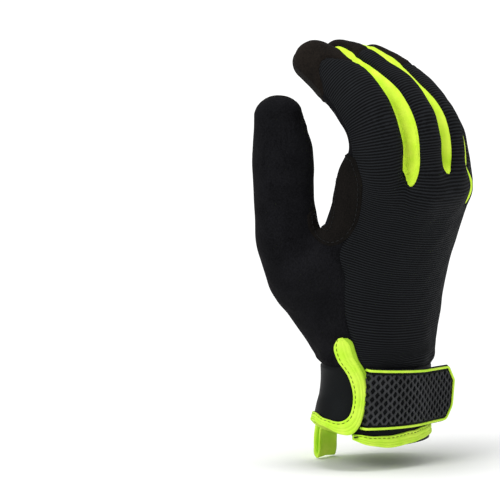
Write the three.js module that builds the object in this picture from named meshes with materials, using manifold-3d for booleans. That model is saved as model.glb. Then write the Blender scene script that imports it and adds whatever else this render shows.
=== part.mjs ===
// A right-hand mechanic glove in its worn shape, millimetres.
// The origin is the centre of the wrist opening at the hem. Z runs up to the fingertips,
// -Y is the back of the hand and -X is the thumb side.
import * as THREE from "three";
import { mergeVertices } from "three/addons/utils/BufferGeometryUtils.js";
import Module from "manifold-3d";

const wasm = await Module();
wasm.setup();

// Driving dimensions of the hand part
const handLength = 178;
const palmWidth = 90;
const palmDepth = 44;
const indexWidth = 28;
const middleWidth = 25;
const ringWidth = 24.6;
const littleWidth = 21.5;
const thumbWidth = 33;
const webWidth = 19;
const clothWall = 1.6;

// Driving dimensions of the cuff
const cuffHeight = 43;
const hemRise = 12;
const wristWidth = 74;
const wristDepth = 52;
const cuffWall = 2.2;
const slitRise = 13;
const slitGap = 3.4;
const slitLean = 9.5;

// Driving dimensions of the trims
const seamGap = 0.3;
const patchThickness = 0.9;
const tapeThickness = 1;
const hemTapeHeight = 5;
const slitTapeWidth = 6.5;
const slitInnerTapeWidth = 3;
const vWidth = 4.2;

// Driving dimensions of the closure strap and the pull tab
const strapHeight = 32.5;
const strapLift = 8.6;
const strapTaper = 4;
const strapThickness = 2.2;
const strapTail = 32;
const strapChamfer = 8;
const gripThickness = 1.2;
const gripInset = 3;
const pipingInset = 0.9;
const pipingWidth = 1.3;
const pipingThickness = 0.8;
const holeWidth = 2.6;
const holeHeight = 3.4;
const holeColumnPitch = 3.9;
const holeRows = 5;
const tabWidth = 15;
const tabThickness = 1.4;
const tabDrop = 13;
const tabLoopGap = 6;

// Places around the wrist, in degrees from +X towards the palm
const slitAngle = 220;
const tapeTurn = 18;
const strapStart = 9;
const strapLeaveAngle = 285;
const tabAngle = 96;
const hemRiseAngle = 165;

const digitSides = 10;
const bodySides = 20;
const rad = THREE.MathUtils.degToRad;
const lerp = THREE.MathUtils.lerp;

// Wrist sections: up is a share of cuffHeight, x and wide are shares of wristWidth,
// y and deep are shares of wristDepth
const wristSections = [
  { up: 0, x: 0, y: 0, wide: 1, deep: 1 },
  { up: 0.35, x: 0.01, y: 0, wide: 0.965, deep: 0.96 },
  { up: 0.8, x: 0.03, y: -0.02, wide: 0.935, deep: 0.94 },
  { up: 1, x: 0.04, y: -0.03, wide: 0.97, deep: 0.98 },
];

// Hand sections: up is a share of handLength above the cuff, x and wide are shares of palmWidth,
// y, back, front and arch are shares of palmDepth. The arch drops both sides towards the palm.
const handSections = [
  { up: 0.05, x: 0.03, y: -0.05, wide: 0.83, back: 0.57, front: 0.57, arch: 0 },
  { up: 0.135, x: 0.03, y: -0.14, wide: 0.88, back: 0.51, front: 0.53, arch: 0.02 },
  { up: 0.315, x: 0.05, y: -0.37, wide: 0.93, back: 0.42, front: 0.46, arch: 0.12 },
  { up: 0.44, x: 0.072, y: -0.6, wide: 0.97, back: 0.36, front: 0.4, arch: 0.22 },
  { up: 0.545, x: 0.09, y: -0.8, wide: 0.95, back: 0.35, front: 0.36, arch: 0.34 },
  { up: 0.6, x: 0.095, y: -0.84, wide: 0.84, back: 0.2, front: 0.24, arch: 0.34 },
];

// Digit routes: x and y are shares of palmWidth and palmDepth, up is a share of handLength
// above the cuff, wide and deep are shares of the digit's own width.
const indexRoute = [
  { x: -0.19, y: -0.26, up: 0.33, wide: 0.78, deep: 0.66 },
  { x: -0.262, y: -0.6, up: 0.555, wide: 0.95, deep: 0.93 },
  { x: -0.285, y: -0.64, up: 0.65, wide: 0.98, deep: 1.02 },
  { x: -0.295, y: -0.56, up: 0.74, wide: 1, deep: 1.06 },
  { x: -0.302, y: -0.32, up: 0.82, wide: 1, deep: 1.06 },
  { x: -0.31, y: 0.02, up: 0.883, wide: 0.94, deep: 0.94 },
  { x: -0.322, y: 0.33, up: 0.922, wide: 0.84, deep: 0.8 },
];
const middleRoute = [
  { x: -0.01, y: -0.4, up: 0.35, wide: 0.8, deep: 0.66 },
  { x: -0.022, y: -0.84, up: 0.567, wide: 0.97, deep: 1 },
  { x: -0.022, y: -0.83, up: 0.65, wide: 0.96, deep: 1 },
  { x: -0.022, y: -0.76, up: 0.73, wide: 0.97, deep: 1.02 },
  { x: -0.022, y: -0.56, up: 0.795, wide: 1, deep: 1.05 },
  { x: -0.022, y: -0.2, up: 0.855, wide: 0.97, deep: 0.98 },
  { x: -0.022, y: 0.16, up: 0.897, wide: 0.92, deep: 0.9 },
  { x: -0.022, y: 0.46, up: 0.912, wide: 0.84, deep: 0.82 },
];
const ringRoute = [
  { x: 0.19, y: -0.34, up: 0.35, wide: 0.8, deep: 0.66 },
  { x: 0.217, y: -0.76, up: 0.567, wide: 0.97, deep: 1 },
  { x: 0.228, y: -0.74, up: 0.665, wide: 0.96, deep: 1 },
  { x: 0.23, y: -0.6, up: 0.735, wide: 0.98, deep: 1.03 },
  { x: 0.233, y: -0.3, up: 0.797, wide: 1, deep: 1.04 },
  { x: 0.235, y: 0.08, up: 0.85, wide: 0.96, deep: 0.96 },
  { x: 0.235, y: 0.42, up: 0.88, wide: 0.88, deep: 0.86 },
];
const littleRoute = [
  { x: 0.38, y: -0.16, up: 0.35, wide: 0.8, deep: 0.7 },
  { x: 0.44, y: -0.46, up: 0.55, wide: 0.98, deep: 1.02 },
  { x: 0.455, y: -0.4, up: 0.64, wide: 0.98, deep: 1.02 },
  { x: 0.468, y: -0.2, up: 0.712, wide: 1, deep: 1.04 },
  { x: 0.478, y: 0.1, up: 0.772, wide: 0.97, deep: 0.98 },
  { x: 0.48, y: 0.42, up: 0.812, wide: 0.9, deep: 0.88 },
];
const thumbRoute = [
  { x: -0.1, y: 0.06, up: 0.03, wide: 1.08, deep: 1.1 },
  { x: -0.235, y: 0.28, up: 0.157, wide: 1.14, deep: 1.12 },
  { x: -0.37, y: 0.42, up: 0.27, wide: 1.15, deep: 1.08 },
  { x: -0.465, y: 0.49, up: 0.38, wide: 1.08, deep: 0.98 },
  { x: -0.5, y: 0.5, up: 0.495, wide: 1, deep: 0.86 },
  { x: -0.515, y: 0.5, up: 0.645, wide: 1, deep: 0.78 },
  { x: -0.535, y: 0.53, up: 0.76, wide: 0.78, deep: 0.66 },
];
// The fold of cloth that fills the fork between the index finger and the thumb
const webRoute = [
  { x: -0.29, y: -0.46, up: 0.67, wide: 0.7, deep: 0.8 },
  { x: -0.32, y: -0.36, up: 0.595, wide: 0.92, deep: 0.95 },
  { x: -0.34, y: -0.3, up: 0.5, wide: 1.05, deep: 1.05 },
  { x: -0.36, y: -0.2, up: 0.405, wide: 1.15, deep: 1.15 },
  { x: -0.39, y: -0.04, up: 0.335, wide: 1.3, deep: 1.3 },
  { x: -0.41, y: 0.16, up: 0.285, wide: 1.5, deep: 1.5 },
  { x: -0.42, y: 0.36, up: 0.26, wide: 1.6, deep: 1.5 },
];

// Seam places on the hand: up is a share of handLength above the cuff, x of palmWidth and
// y of palmDepth. The back seam parts knit from thumb suede, the ball seam parts thumb suede
// from palm suede, and the side seam parts palm suede from knit.
const seamPlaces = [
  { up: 0, backX: -0.31, backY: -0.36, ballX: -0.145, ballY: 0.3, sideX: 0.4, sideY: 0.14 },
  { up: 0.09, backX: -0.32, backY: -0.33, ballX: -0.115, ballY: 0.25, sideX: 0.435, sideY: 0 },
  { up: 0.18, backX: -0.335, backY: -0.3, ballX: -0.09, ballY: 0.15, sideX: 0.48, sideY: -0.1 },
  { up: 0.275, backX: -0.365, backY: -0.32, ballX: -0.125, ballY: -0.05, sideX: 0.51, sideY: -0.18 },
  { up: 0.365, backX: -0.4, backY: -0.34, ballX: -0.14, ballY: -0.25, sideX: 0.53, sideY: -0.28 },
  { up: 0.42, backX: -0.4, backY: -0.42, ballX: -0.24, ballY: -0.36, sideX: 0.545, sideY: -0.38 },
  { up: 0.62, backX: -0.42, backY: -0.52, ballX: -0.3, ballY: -0.4, sideX: 0.56, sideY: -0.46 },
];

// Edges of the palm patch, from the little finger's side to the wrist: up is a share of
// handLength above the cuff, x of palmWidth. The thumb edge faces the thumb and the fingers.
const patchEdges = [
  { thumbX: 0.62, thumbUp: 0.532, heelX: 0.62, heelUp: 0.444 },
  { thumbX: 0.21, thumbUp: 0.54, heelX: 0.2, heelUp: 0.438 },
  { thumbX: -0.19, thumbUp: 0.492, heelX: 0.1, heelUp: 0.425 },
  { thumbX: -0.31, thumbUp: 0.455, heelX: 0.08, heelUp: 0.38 },
  { thumbX: -0.14, thumbUp: 0.37, heelX: 0.07, heelUp: 0.33 },
  { thumbX: -0.137, thumbUp: 0.285, heelX: 0.08, heelUp: 0.25 },
  { thumbX: -0.088, thumbUp: 0.19, heelX: 0.075, heelUp: 0.165 },
  { thumbX: -0.112, thumbUp: 0.095, heelX: 0.062, heelUp: 0.08 },
  { thumbX: -0.14, thumbUp: 0.018, heelX: 0.05, heelUp: 0.018 },
];

// Edges of the crotch patch, from the index finger round the fork to the thumb: across is a
// share of palmWidth along the line from thumb to index finger, up a share of handLength.
const crotchEdges = [
  { outAcross: -0.1, outUp: 0.65, inAcross: -0.2, inUp: 0.67 },
  { outAcross: -0.06, outUp: 0.58, inAcross: -0.22, inUp: 0.59 },
  { outAcross: -0.058, outUp: 0.53, inAcross: -0.23, inUp: 0.53 },
  { outAcross: -0.078, outUp: 0.466, inAcross: -0.24, inUp: 0.48 },
  { outAcross: -0.115, outUp: 0.425, inAcross: -0.25, inUp: 0.455 },
  { outAcross: -0.17, outUp: 0.395, inAcross: -0.26, inUp: 0.44 },
  { outAcross: -0.24, outUp: 0.38, inAcross: -0.27, inUp: 0.435 },
  { outAcross: -0.31, outUp: 0.388, inAcross: -0.28, inUp: 0.44 },
  { outAcross: -0.355, outUp: 0.405, inAcross: -0.29, inUp: 0.455 },
  { outAcross: -0.38, outUp: 0.43, inAcross: -0.295, inUp: 0.475 },
  { outAcross: -0.385, outUp: 0.465, inAcross: -0.3, inUp: 0.5 },
];

// The point at the lower end of a strip between fingers: rise is a share of the route above
// the start, wide is a share of vWidth
const pointRows = [
  { rise: 0, wide: 0.2 },
  { rise: 0.03, wide: 0.75 },
  { rise: 0.09, wide: 1 },
];

/** Turn closed positions and triangles into a manifold solid with its faces pointing out. */
function toSolid(points, triangles) {
  let volume = 0;
  for (const [a, b, c] of triangles) {
    volume += points[a].dot(new THREE.Vector3().crossVectors(points[b], points[c]));
  }
  const ordered = volume > 0 ? triangles : triangles.map(([a, b, c]) => [a, c, b]);
  return new wasm.Manifold(new wasm.Mesh({
    numProp: 3,
    vertProperties: Float32Array.from(points.flatMap((p) => [p.x, p.y, p.z])),
    triVerts: Uint32Array.from(ordered.flat()),
  }));
}

/** Skin a row of rings with equal point counts and close both ends with a fan. */
function loft(rings) {
  const sides = rings[0].length;
  const points = rings.flat();
  const triangles = [];
  for (let row = 0; row + 1 < rings.length; row += 1) {
    for (let i = 0; i < sides; i += 1) {
      const a = row * sides + i;
      const b = row * sides + ((i + 1) % sides);
      triangles.push([a, b, b + sides], [a, b + sides, a + sides]);
    }
  }
  for (const end of [0, rings.length - 1]) {
    const middle = rings[end].reduce((sum, p) => sum.add(p), new THREE.Vector3());
    points.push(middle.divideScalar(sides));
    for (let i = 0; i < sides; i += 1) {
      const a = end * sides + i;
      const b = end * sides + ((i + 1) % sides);
      triangles.push(end === 0 ? [b, a, points.length - 1] : [a, b, points.length - 1]);
    }
  }
  return toSolid(points, triangles);
}

/** Keep the largest closed body of a solid, without the crumbs that a cut can leave. */
function mainBody(solid) {
  const mesh = solid.getMesh();
  const { vertProperties, triVerts } = mesh;
  const owner = Array.from({ length: vertProperties.length / 3 }, (_, i) => i);
  const find = (i) => {
    while (owner[i] !== i) {
      owner[i] = owner[owner[i]];
      i = owner[i];
    }
    return i;
  };
  for (let t = 0; t < triVerts.length; t += 3) {
    owner[find(triVerts[t + 1])] = find(triVerts[t]);
    owner[find(triVerts[t + 2])] = find(triVerts[t]);
  }
  const volumes = new Map();
  const at = (i) => new THREE.Vector3().fromArray(vertProperties, 3 * i);
  for (let t = 0; t < triVerts.length; t += 3) {
    const root = find(triVerts[t]);
    const cross = new THREE.Vector3().crossVectors(at(triVerts[t + 1]), at(triVerts[t + 2]));
    volumes.set(root, (volumes.get(root) ?? 0) + at(triVerts[t]).dot(cross));
  }
  const largest = [...volumes].sort((a, b) => b[1] - a[1])[0][0];
  const kept = Array.from(triVerts).filter((_, i) => find(triVerts[i - (i % 3)]) === largest);
  const geometry = new THREE.BufferGeometry();
  geometry.setAttribute("position", new THREE.BufferAttribute(vertProperties.slice(), 3));
  geometry.setIndex(kept);
  return geometry;
}

/** The value of a named column at a height, between the rows of a table. */
function column(rows, height, name) {
  const last = rows.length - 2;
  const row = Math.min(last, Math.max(0, rows.findIndex((r) => r.up > height) - 1));
  const next = height >= rows[rows.length - 1].up ? last : row;
  const share = (height - rows[next].up) / (rows[next + 1].up - rows[next].up);
  return lerp(rows[next][name], rows[next + 1][name], share);
}

/** Half sizes of the wrist section at a height above the hem. */
function wristHalf(z, offset) {
  const up = THREE.MathUtils.clamp(z / cuffHeight, 0, 1);
  return {
    x: column(wristSections, up, "x") * wristWidth,
    y: column(wristSections, up, "y") * wristDepth,
    across: (column(wristSections, up, "wide") * wristWidth) / 2 + offset,
    deep: (column(wristSections, up, "deep") * wristDepth) / 2 + offset,
  };
}

/** How much the hem's curve lifts a level of the cuff at a turn: most on the thumb's side. */
function hemLift(turn, z) {
  const facing = Math.max(0, Math.cos(turn - rad(hemRiseAngle))) ** 1.6;
  return hemRise * facing * THREE.MathUtils.clamp(1 - z / (0.6 * cuffHeight), 0, 1.05);
}

/** A point on the wrist section at a turn and a level, grown by an offset. */
function wristPoint(turn, z, offset) {
  const half = wristHalf(z, offset);
  const x = half.x + half.across * Math.cos(turn);
  return new THREE.Vector3(x, half.y + half.deep * Math.sin(turn), z + hemLift(turn, z));
}

/** A ring of the wrist at one height. */
function wristRing(z, offset) {
  return Array.from({ length: bodySides }, (_, i) => (
    wristPoint((2 * Math.PI * i) / bodySides, z, offset)));
}

/** A ring of the hand at one row of its section table. */
function handRing(row, offset) {
  const across = (row.wide * palmWidth) / 2 + offset;
  const height = cuffHeight + row.up * handLength;
  return Array.from({ length: bodySides }, (_, i) => {
    const turn = (2 * Math.PI * i) / bodySides;
    const deep = (Math.sin(turn) > 0 ? row.front : row.back) * palmDepth + offset;
    const drop = row.arch * palmDepth * Math.cos(turn) ** 2;
    const x = row.x * palmWidth + across * Math.cos(turn);
    return new THREE.Vector3(x, row.y * palmDepth + drop + deep * Math.sin(turn), height);
  });
}

/** One digit of the glove: its route, its sections and the cutters that follow it. */
class Digit {
  constructor(width, route, ulnar) {
    this.width = width;
    this.route = route;
    this.curve = new THREE.CatmullRomCurve3(
      route.map((r) => new THREE.Vector3(r.x * palmWidth, r.y * palmDepth, cuffHeight + r.up * handLength)),
      false,
      "centripetal",
    );
    this.ulnar = ulnar;
  }

  /** Place, directions and half sizes at a share of the route. */
  station(share) {
    const place = this.curve.getPoint(share);
    const along = this.curve.getTangent(share).normalize();
    const back = new THREE.Vector3().crossVectors(this.ulnar, along).normalize();
    const side = new THREE.Vector3().crossVectors(along, back).normalize();
    const at = share * (this.route.length - 1);
    const row = Math.min(this.route.length - 2, Math.floor(at));
    const [low, high] = [this.route[row], this.route[row + 1]];
    const across = (lerp(low.wide, high.wide, at - row) * this.width) / 2;
    const deep = (lerp(low.deep, high.deep, at - row) * this.width) / 2;
    return { place, along, back, side, across, deep };
  }

  /** A point around a station: the turn runs from the back of the digit to its ulnar side. */
  point(station, turn, offset, scale = 1, lift = 0) {
    return station.place.clone()
      .addScaledVector(station.side, (station.across + offset) * scale * Math.sin(turn))
      .addScaledVector(station.back, (station.deep + offset) * scale * Math.cos(turn))
      .addScaledVector(station.along, lift);
  }

  /** The whole digit with a rounded tip, grown by an offset. */
  solid(offset) {
    const steps = this.route.length - 1;
    const turns = Array.from({ length: digitSides }, (_, i) => (2 * Math.PI * i) / digitSides);
    const rings = [];
    for (let i = 0; i <= steps; i += 1) {
      const station = this.station(i / steps);
      rings.push(turns.map((turn) => this.point(station, turn, offset)));
    }
    const tip = this.station(1);
    for (const bend of [34, 66]) {
      const reach = (tip.deep + offset) * Math.sin(rad(bend));
      rings.push(turns.map((turn) => this.point(tip, turn, offset, Math.cos(rad(bend)), reach)));
    }
    return loft(rings);
  }

  /** A pie slice of the digit between two turns, from one share of the route past its tip. */
  slice(fromShare, toShare, fromTurn, toTurn, reach, pastTip = 0) {
    if (toTurn - fromTurn > 180) {
      const rest = this.slice(fromShare - 0.02, toShare, toTurn - 360, fromTurn, 2 * reach, 2 * pastTip);
      return this.collar(fromShare, toShare, reach, pastTip).subtract(rest);
    }
    const steps = Math.max(2, Math.round((toShare - fromShare) * (this.route.length - 1)));
    const arc = Math.ceil((toTurn - fromTurn) / 38);
    const ring = (station, lift) => {
      const points = [station.place.clone().addScaledVector(station.along, lift)];
      for (let i = 0; i <= arc; i += 1) {
        points.push(this.point(station, rad(lerp(fromTurn, toTurn, i / arc)), reach, 1, lift));
      }
      return points;
    };
    const rings = [];
    for (let i = 0; i <= steps; i += 1) {
      rings.push(ring(this.station(lerp(fromShare, toShare, i / steps)), 0));
    }
    if (pastTip > 0) {
      rings.push(ring(this.station(toShare), pastTip));
    }
    return loft(rings);
  }

  /** A full collar around the digit from one share of the route to another, or past its tip. */
  collar(fromShare, toShare, reach, pastTip = 0) {
    const turns = Array.from({ length: digitSides }, (_, i) => (2 * Math.PI * i) / digitSides);
    const rings = [];
    const steps = Math.max(2, Math.round((toShare - fromShare) * (this.route.length - 1)));
    for (let i = 0; i <= steps; i += 1) {
      const station = this.station(lerp(fromShare, toShare, i / steps));
      rings.push(turns.map((turn) => this.point(station, turn, reach)));
    }
    if (pastTip > 0) {
      const station = this.station(toShare);
      rings.push(turns.map((turn) => this.point(station, turn, reach, 1, pastTip)));
    }
    return loft(rings);
  }
}

const materials = {
  knit: { color: 0x17181b, roughness: 0.85, metalness: 0 },
  suede: { color: 0x1b1a1b, roughness: 0.95, metalness: 0 },
  lime: { color: 0xc6f62e, roughness: 0.7, metalness: 0 },
  patch: { color: 0x232224, roughness: 0.95, metalness: 0 },
  touch: { color: 0x2c2a2a, roughness: 0.9, metalness: 0 },
  neoprene: { color: 0x15191b, roughness: 0.55, metalness: 0 },
  rubber: { color: 0x2e2f33, roughness: 0.5, metalness: 0 },
};

const acrossHand = new THREE.Vector3(1, 0, 0);
const digits = {
  index: new Digit(indexWidth, indexRoute, new THREE.Vector3(0.94, -0.34, 0)),
  middle: new Digit(middleWidth, middleRoute, acrossHand),
  ring: new Digit(ringWidth, ringRoute, acrossHand),
  little: new Digit(littleWidth, littleRoute, new THREE.Vector3(0.94, 0.34, 0)),
  thumb: new Digit(thumbWidth, thumbRoute, new THREE.Vector3(0.68, -0.73, 0)),
};
const web = new Digit(webWidth, webRoute, new THREE.Vector3(0.6, -0.8, 0));
const fourchettes = [
  { name: "fourchette_index_middle", radial: digits.index, ulnar: digits.middle, start: 0.18 },
  { name: "fourchette_middle_ring", radial: digits.middle, ulnar: digits.ring, start: 0.155 },
  { name: "fourchette_ring_little", radial: digits.ring, ulnar: digits.little, start: 0.13 },
];

/** The glove's whole outside, grown by an offset, from a height above the hem. */
function gloveForm(offset, bottom = -10) {
  const rings = wristSections.map((row) => wristRing(row.up * cuffHeight, offset));
  rings.unshift(wristRing(0, offset).map((p) => p.setZ(bottom)));
  rings.push(...handSections.map((row) => handRing(row, offset)));
  return [...Object.values(digits), web]
    .reduce((form, digit) => form.add(digit.solid(offset)), loft(rings));
}

/** A block between two heights over a plan outline. */
function block(outline, bottom, top) {
  return loft([bottom, top].map((z) => outline.map(([x, y]) => new THREE.Vector3(x, y, z))));
}

const far = 2 * palmWidth;
const cuffSlab = (bottom, top) => block([[-far, -far], [far, -far], [far, far], [-far, far]], bottom, top);

/** A region of the hand between seams: the outline of each seam row, stacked over the heights. */
function seamRegion(rows, outline) {
  return loft(rows.map((row) => outline(row).map(([x, y]) => (
    new THREE.Vector3(x, y, cuffHeight + row.up * handLength)))));
}

/** The seam places as lengths, each one moved by a margin that opens the region it bounds. */
function places(row) {
  return {
    back: [row.backX * palmWidth, row.backY * palmDepth],
    ball: [row.ballX * palmWidth, row.ballY * palmDepth],
    side: [row.sideX * palmWidth, row.sideY * palmDepth],
  };
}

/** The thumb's region: its tube and the ball of the thumb down to the cuff. */
function thumbRegion(margin) {
  const rows = seamPlaces.slice(0, 6);
  const ball = seamRegion(rows, (row) => {
    const { back, ball: front } = places(row);
    return [
      [back[0] + margin, back[1] - margin],
      [-far, back[1] - margin],
      [-far, far],
      [front[0] + margin, far],
      [front[0] + margin, front[1] - margin],
    ];
  });
  return ball.add(digits.thumb.collar(0.52, 1, 2 + margin, thumbWidth));
}

/** The suede region: the palm with the palm sides and the tips of the four fingers. */
function palmRegion(margin) {
  const rows = seamPlaces.map((row, i) => (
    i === seamPlaces.length - 1 ? { ...row, up: row.up + margin / handLength } : row));
  let region = seamRegion(rows, (row) => {
    const { back, side } = places(row);
    const middleX = column(handSections, row.up, "x") * palmWidth;
    const middleY = column(handSections, row.up, "y") * palmDepth;
    return [
      [-far, back[1] - margin],
      [back[0], back[1] - margin],
      [middleX, middleY - margin],
      [side[0], side[1] - margin],
      [far, side[1] - margin],
      [far, far],
      [-far, far],
    ];
  });
  const slack = (margin / indexWidth) * 115;
  for (const [name, digit] of Object.entries(digits)) {
    if (name !== "thumb") {
      const first = name === "index" ? -105 : -50;
      const start = 0.1 - margin / 60;
      const reach = 1.2 + margin;
      region = region.add(digit.slice(start, 1, 50 - slack, 360 + first + slack, reach, digit.width));
      region = region.add(digit.collar(0.93 - margin / 100, 1, reach, digit.width));
    }
  }
  return region;
}

/** The strip between two neighbouring fingers, with a rounded point on the back and the palm. */
function fourchetteRegion({ radial, ulnar, start }, margin) {
  const [low, high] = [start - margin / 60, 0.97 + margin / 60];
  const half = (station) => station.deep * Math.cos(rad(50)) + margin;
  const strip = loft([low + 0.04, 0.34, 0.5, 0.66, 0.82, high].map((share) => {
    const [a, b] = [radial.station(share), ulnar.station(share)];
    return [
      a.place.clone().addScaledVector(a.back, half(a)),
      b.place.clone().addScaledVector(b.back, half(b)),
      b.place.clone().addScaledVector(b.back, -half(b)),
      a.place.clone().addScaledVector(a.back, -half(a)),
    ];
  }));
  const point = (depth) => loft(pointRows.map((row) => {
    const [a, b] = [radial, ulnar].map((digit) => digit.station(low + row.rise));
    const middle = a.place.clone().add(b.place).divideScalar(2);
    const reach = row.wide * vWidth + margin;
    const outward = a.back.clone().add(b.back).normalize().multiplyScalar(depth);
    return [[-1, 0], [1, 0], [1, 1], [-1, 1]].map(([side, out]) => middle.clone()
      .addScaledVector(acrossHand, side * reach)
      .addScaledVector(outward, out));
  }));
  return strip.add(point(radial.width * 0.9)).add(point(-radial.width * 0.9));
}

const shell = gloveForm(0).subtract(gloveForm(-clothWall)).subtract(cuffSlab(-far, cuffHeight + seamGap / 2));

/** Distance of a place around the wrist and the direction square to the cloth there. */
function wristFrame(angle) {
  const half = wristHalf(0, 0);
  const turn = rad(angle);
  const foot = new THREE.Vector2(half.across * Math.cos(turn), half.deep * Math.sin(turn));
  const out = new THREE.Vector2(Math.cos(turn) / half.across, Math.sin(turn) / half.deep).normalize();
  return { foot, out, side: new THREE.Vector2(-out.y, out.x) };
}

/** A block that runs outwards from the wrist at one angle, between two distances along it. */
function wristBlock(angle, fromSide, toSide, bottom, top) {
  const { foot, out, side } = wristFrame(angle);
  const corner = (s, o) => foot.clone().addScaledVector(side, s).addScaledVector(out, o).toArray();
  const [inner, outer] = [-wristDepth / 3, wristDepth / 2];
  return block([corner(fromSide, inner), corner(toSide, inner), corner(toSide, outer),
    corner(fromSide, outer)], bottom, top);
}

/** A block along the slit, between two distances from its middle line, which leans at its top. */
function slitBlock(sides, bottom, top) {
  const [from, to] = sides.slice().sort((a, b) => a - b);
  const bends = [cuffHeight / 2, slitTop].filter((z) => z > bottom && z < top);
  const { foot, out, side } = wristFrame(slitAngle);
  const [inner, outer] = [-wristDepth / 3, wristDepth / 2];
  return loft([bottom, ...bends, top].map((z) => {
    const share = (z - cuffHeight / 2) / (slitTop - cuffHeight / 2);
    const lean = slitLean * THREE.MathUtils.clamp(share, 0, 1);
    return [[from, inner], [to, inner], [to, outer], [from, outer]].map(([s, o]) => {
      const plan = foot.clone().addScaledVector(side, s - lean).addScaledVector(out, o);
      return new THREE.Vector3(plan.x, plan.y, z);
    });
  }));
}

/** A tube of the wrist between two offsets and two heights. */
function wristTube(inner, outer, bottom, top) {
  const levels = wristSections.map((row) => row.up * cuffHeight).filter((z) => z > bottom && z < top);
  const column = (offset, low, high) => loft([low, ...levels, high].map((z) => wristRing(z, offset)));
  return column(outer, bottom, top).subtract(column(inner, bottom - 1, top + 1));
}

const slitTop = cuffHeight + slitRise;
const slitCut = slitBlock([-slitGap / 2, slitGap / 2], -far, slitTop);
const tapeOffset = seamGap + tapeThickness;

/** Tape folded round one edge of the slit: on the outside, through the slit and on the inside. */
function slitTape(direction, width) {
  const edge = (direction * slitGap) / 2;
  const reach = edge - direction * tapeOffset;
  const level = hemTapeHeight + 2 * seamGap;
  const lowest = wristPoint(rad(slitAngle + (direction > 0 ? 0 : -tapeTurn)), level, 0).z;
  const [bottom, top] = [lowest, slitTop - seamGap];
  const outside = gloveForm(tapeOffset).subtract(gloveForm(-cuffWall - tapeOffset));
  const cloth = gloveForm(seamGap).subtract(gloveForm(-cuffWall - seamGap));
  const strip = slitBlock([reach, edge + direction * width], bottom, top);
  const covered = slitBlock([edge - direction * seamGap, edge + direction * far], -far, far);
  return outside.intersect(strip).subtract(cloth.intersect(covered));
}

/** Tape folded round the hem, open at the slit. */
function hemTape() {
  const whole = wristTube(-cuffWall - tapeOffset, tapeOffset, -tapeOffset, hemTapeHeight);
  const cloth = wristTube(-cuffWall - seamGap, seamGap, -seamGap, cuffHeight);
  const opening = slitGap / 2 - tapeOffset;
  return whole.subtract(cloth).subtract(slitBlock([-opening, opening], -far, slitTop));
}

/** The path of the strap at a height: round the back of the wrist, then straight as a free tail. */
function strapPoint(along, z, offset) {
  const start = slitAngle + strapStart;
  const share = Math.min(1, along);
  const turn = rad(lerp(start, strapLeaveAngle, share));
  const [low, high] = [wristHalf(strapLift, offset), wristHalf(strapLift + strapHeight, offset)];
  const rise = (z - strapLift) / strapHeight;
  const half = { across: lerp(low.across, high.across, rise), deep: lerp(low.deep, high.deep, rise) };
  const x = lerp(low.x, high.x, rise) + half.across * Math.cos(turn);
  const place = new THREE.Vector3(x, lerp(low.y, high.y, rise) + half.deep * Math.sin(turn), z);
  if (along > 1) {
    const tail = new THREE.Vector3(-half.across * Math.sin(turn), half.deep * Math.cos(turn), 0);
    place.addScaledVector(tail.normalize(), (along - 1) * strapTail);
  }
  return place;
}

/** Height of the strap's upper edge, which falls towards its tail. */
function strapTop(along) {
  return strapLift + strapHeight - (strapTaper * along) / 2;
}

/** A plate that follows the strap, inset from its edges, between two offsets from the cuff. */
function strapPlate(inset, low, high, start = 0) {
  const bottom = strapLift + inset;
  const end = 2 - inset / strapTail;
  const bend = Array.from({ length: 7 }, (_, i) => lerp(start, 1, i / 6));
  const corner = end - strapChamfer / strapTail;
  const columns = [...bend, lerp(1, corner, 0.5), corner, lerp(corner, end, 0.6), end];
  const rings = columns.map((along) => {
    const drop = along > corner ? (along - corner) / (end - corner) : 0;
    const top = strapTop(along) - inset - drop * strapChamfer;
    const heights = [bottom + drop ** 2 * strapChamfer, top];
    return [
      ...heights.map((z) => strapPoint(along, z, low)),
      ...heights.reverse().map((z) => strapPoint(along, z, high)),
    ];
  });
  return loft(rings);
}

/** One diamond opening of the grip, cut square to the strap. */
function diamond(along, z, low, high) {
  const [before, after] = [-0.01, 0.01].map((d) => strapPoint(along + d, z, low));
  const side = after.clone().sub(before).normalize();
  const out = new THREE.Vector3(side.y, -side.x, 0);
  const middle = strapPoint(along, z, low);
  const ring = (reach) => [[-1, 0], [0, -1], [1, 0], [0, 1]].map(([s, u]) => middle.clone()
    .addScaledVector(side, (s * holeWidth) / 2)
    .addScaledVector(out, reach)
    .setZ(z + (u * holeHeight) / 2));
  return loft([ring(-1), ring(high - low + 1)]);
}

/** The rubber grip of the strap, pierced by staggered columns of diamonds. */
function strapGrip(low, high) {
  let grip = strapPlate(gripInset, low, high, pipingInset / arcLength);
  const usable = arcLength + strapTail - 2 * gripInset - holeWidth;
  const columns = Math.floor(usable / holeColumnPitch);
  for (let i = 0; i < columns; i += 1) {
    const run = gripInset + holeWidth + i * holeColumnPitch;
    const along = run < arcLength ? run / arcLength : 1 + (run - arcLength) / strapTail;
    const left = arcLength + strapTail - run;
    const corner = Math.max(0, 1 - (left - gripInset) / strapChamfer) * strapChamfer;
    const pitch = (strapTop(along) - strapLift - 2 * gripInset) / (holeRows + 0.5);
    for (let row = 0; row < holeRows; row += 1) {
      const z = strapLift + gripInset + pitch * (row + (i % 2 === 0 ? 0.5 : 1));
      const clear = Math.min(strapTop(along) - z, z - strapLift) - gripInset - holeHeight / 2;
      if (clear > corner || corner === 0) {
        grip = grip.subtract(diamond(along, z, low, high));
      }
    }
  }
  return grip;
}

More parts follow.
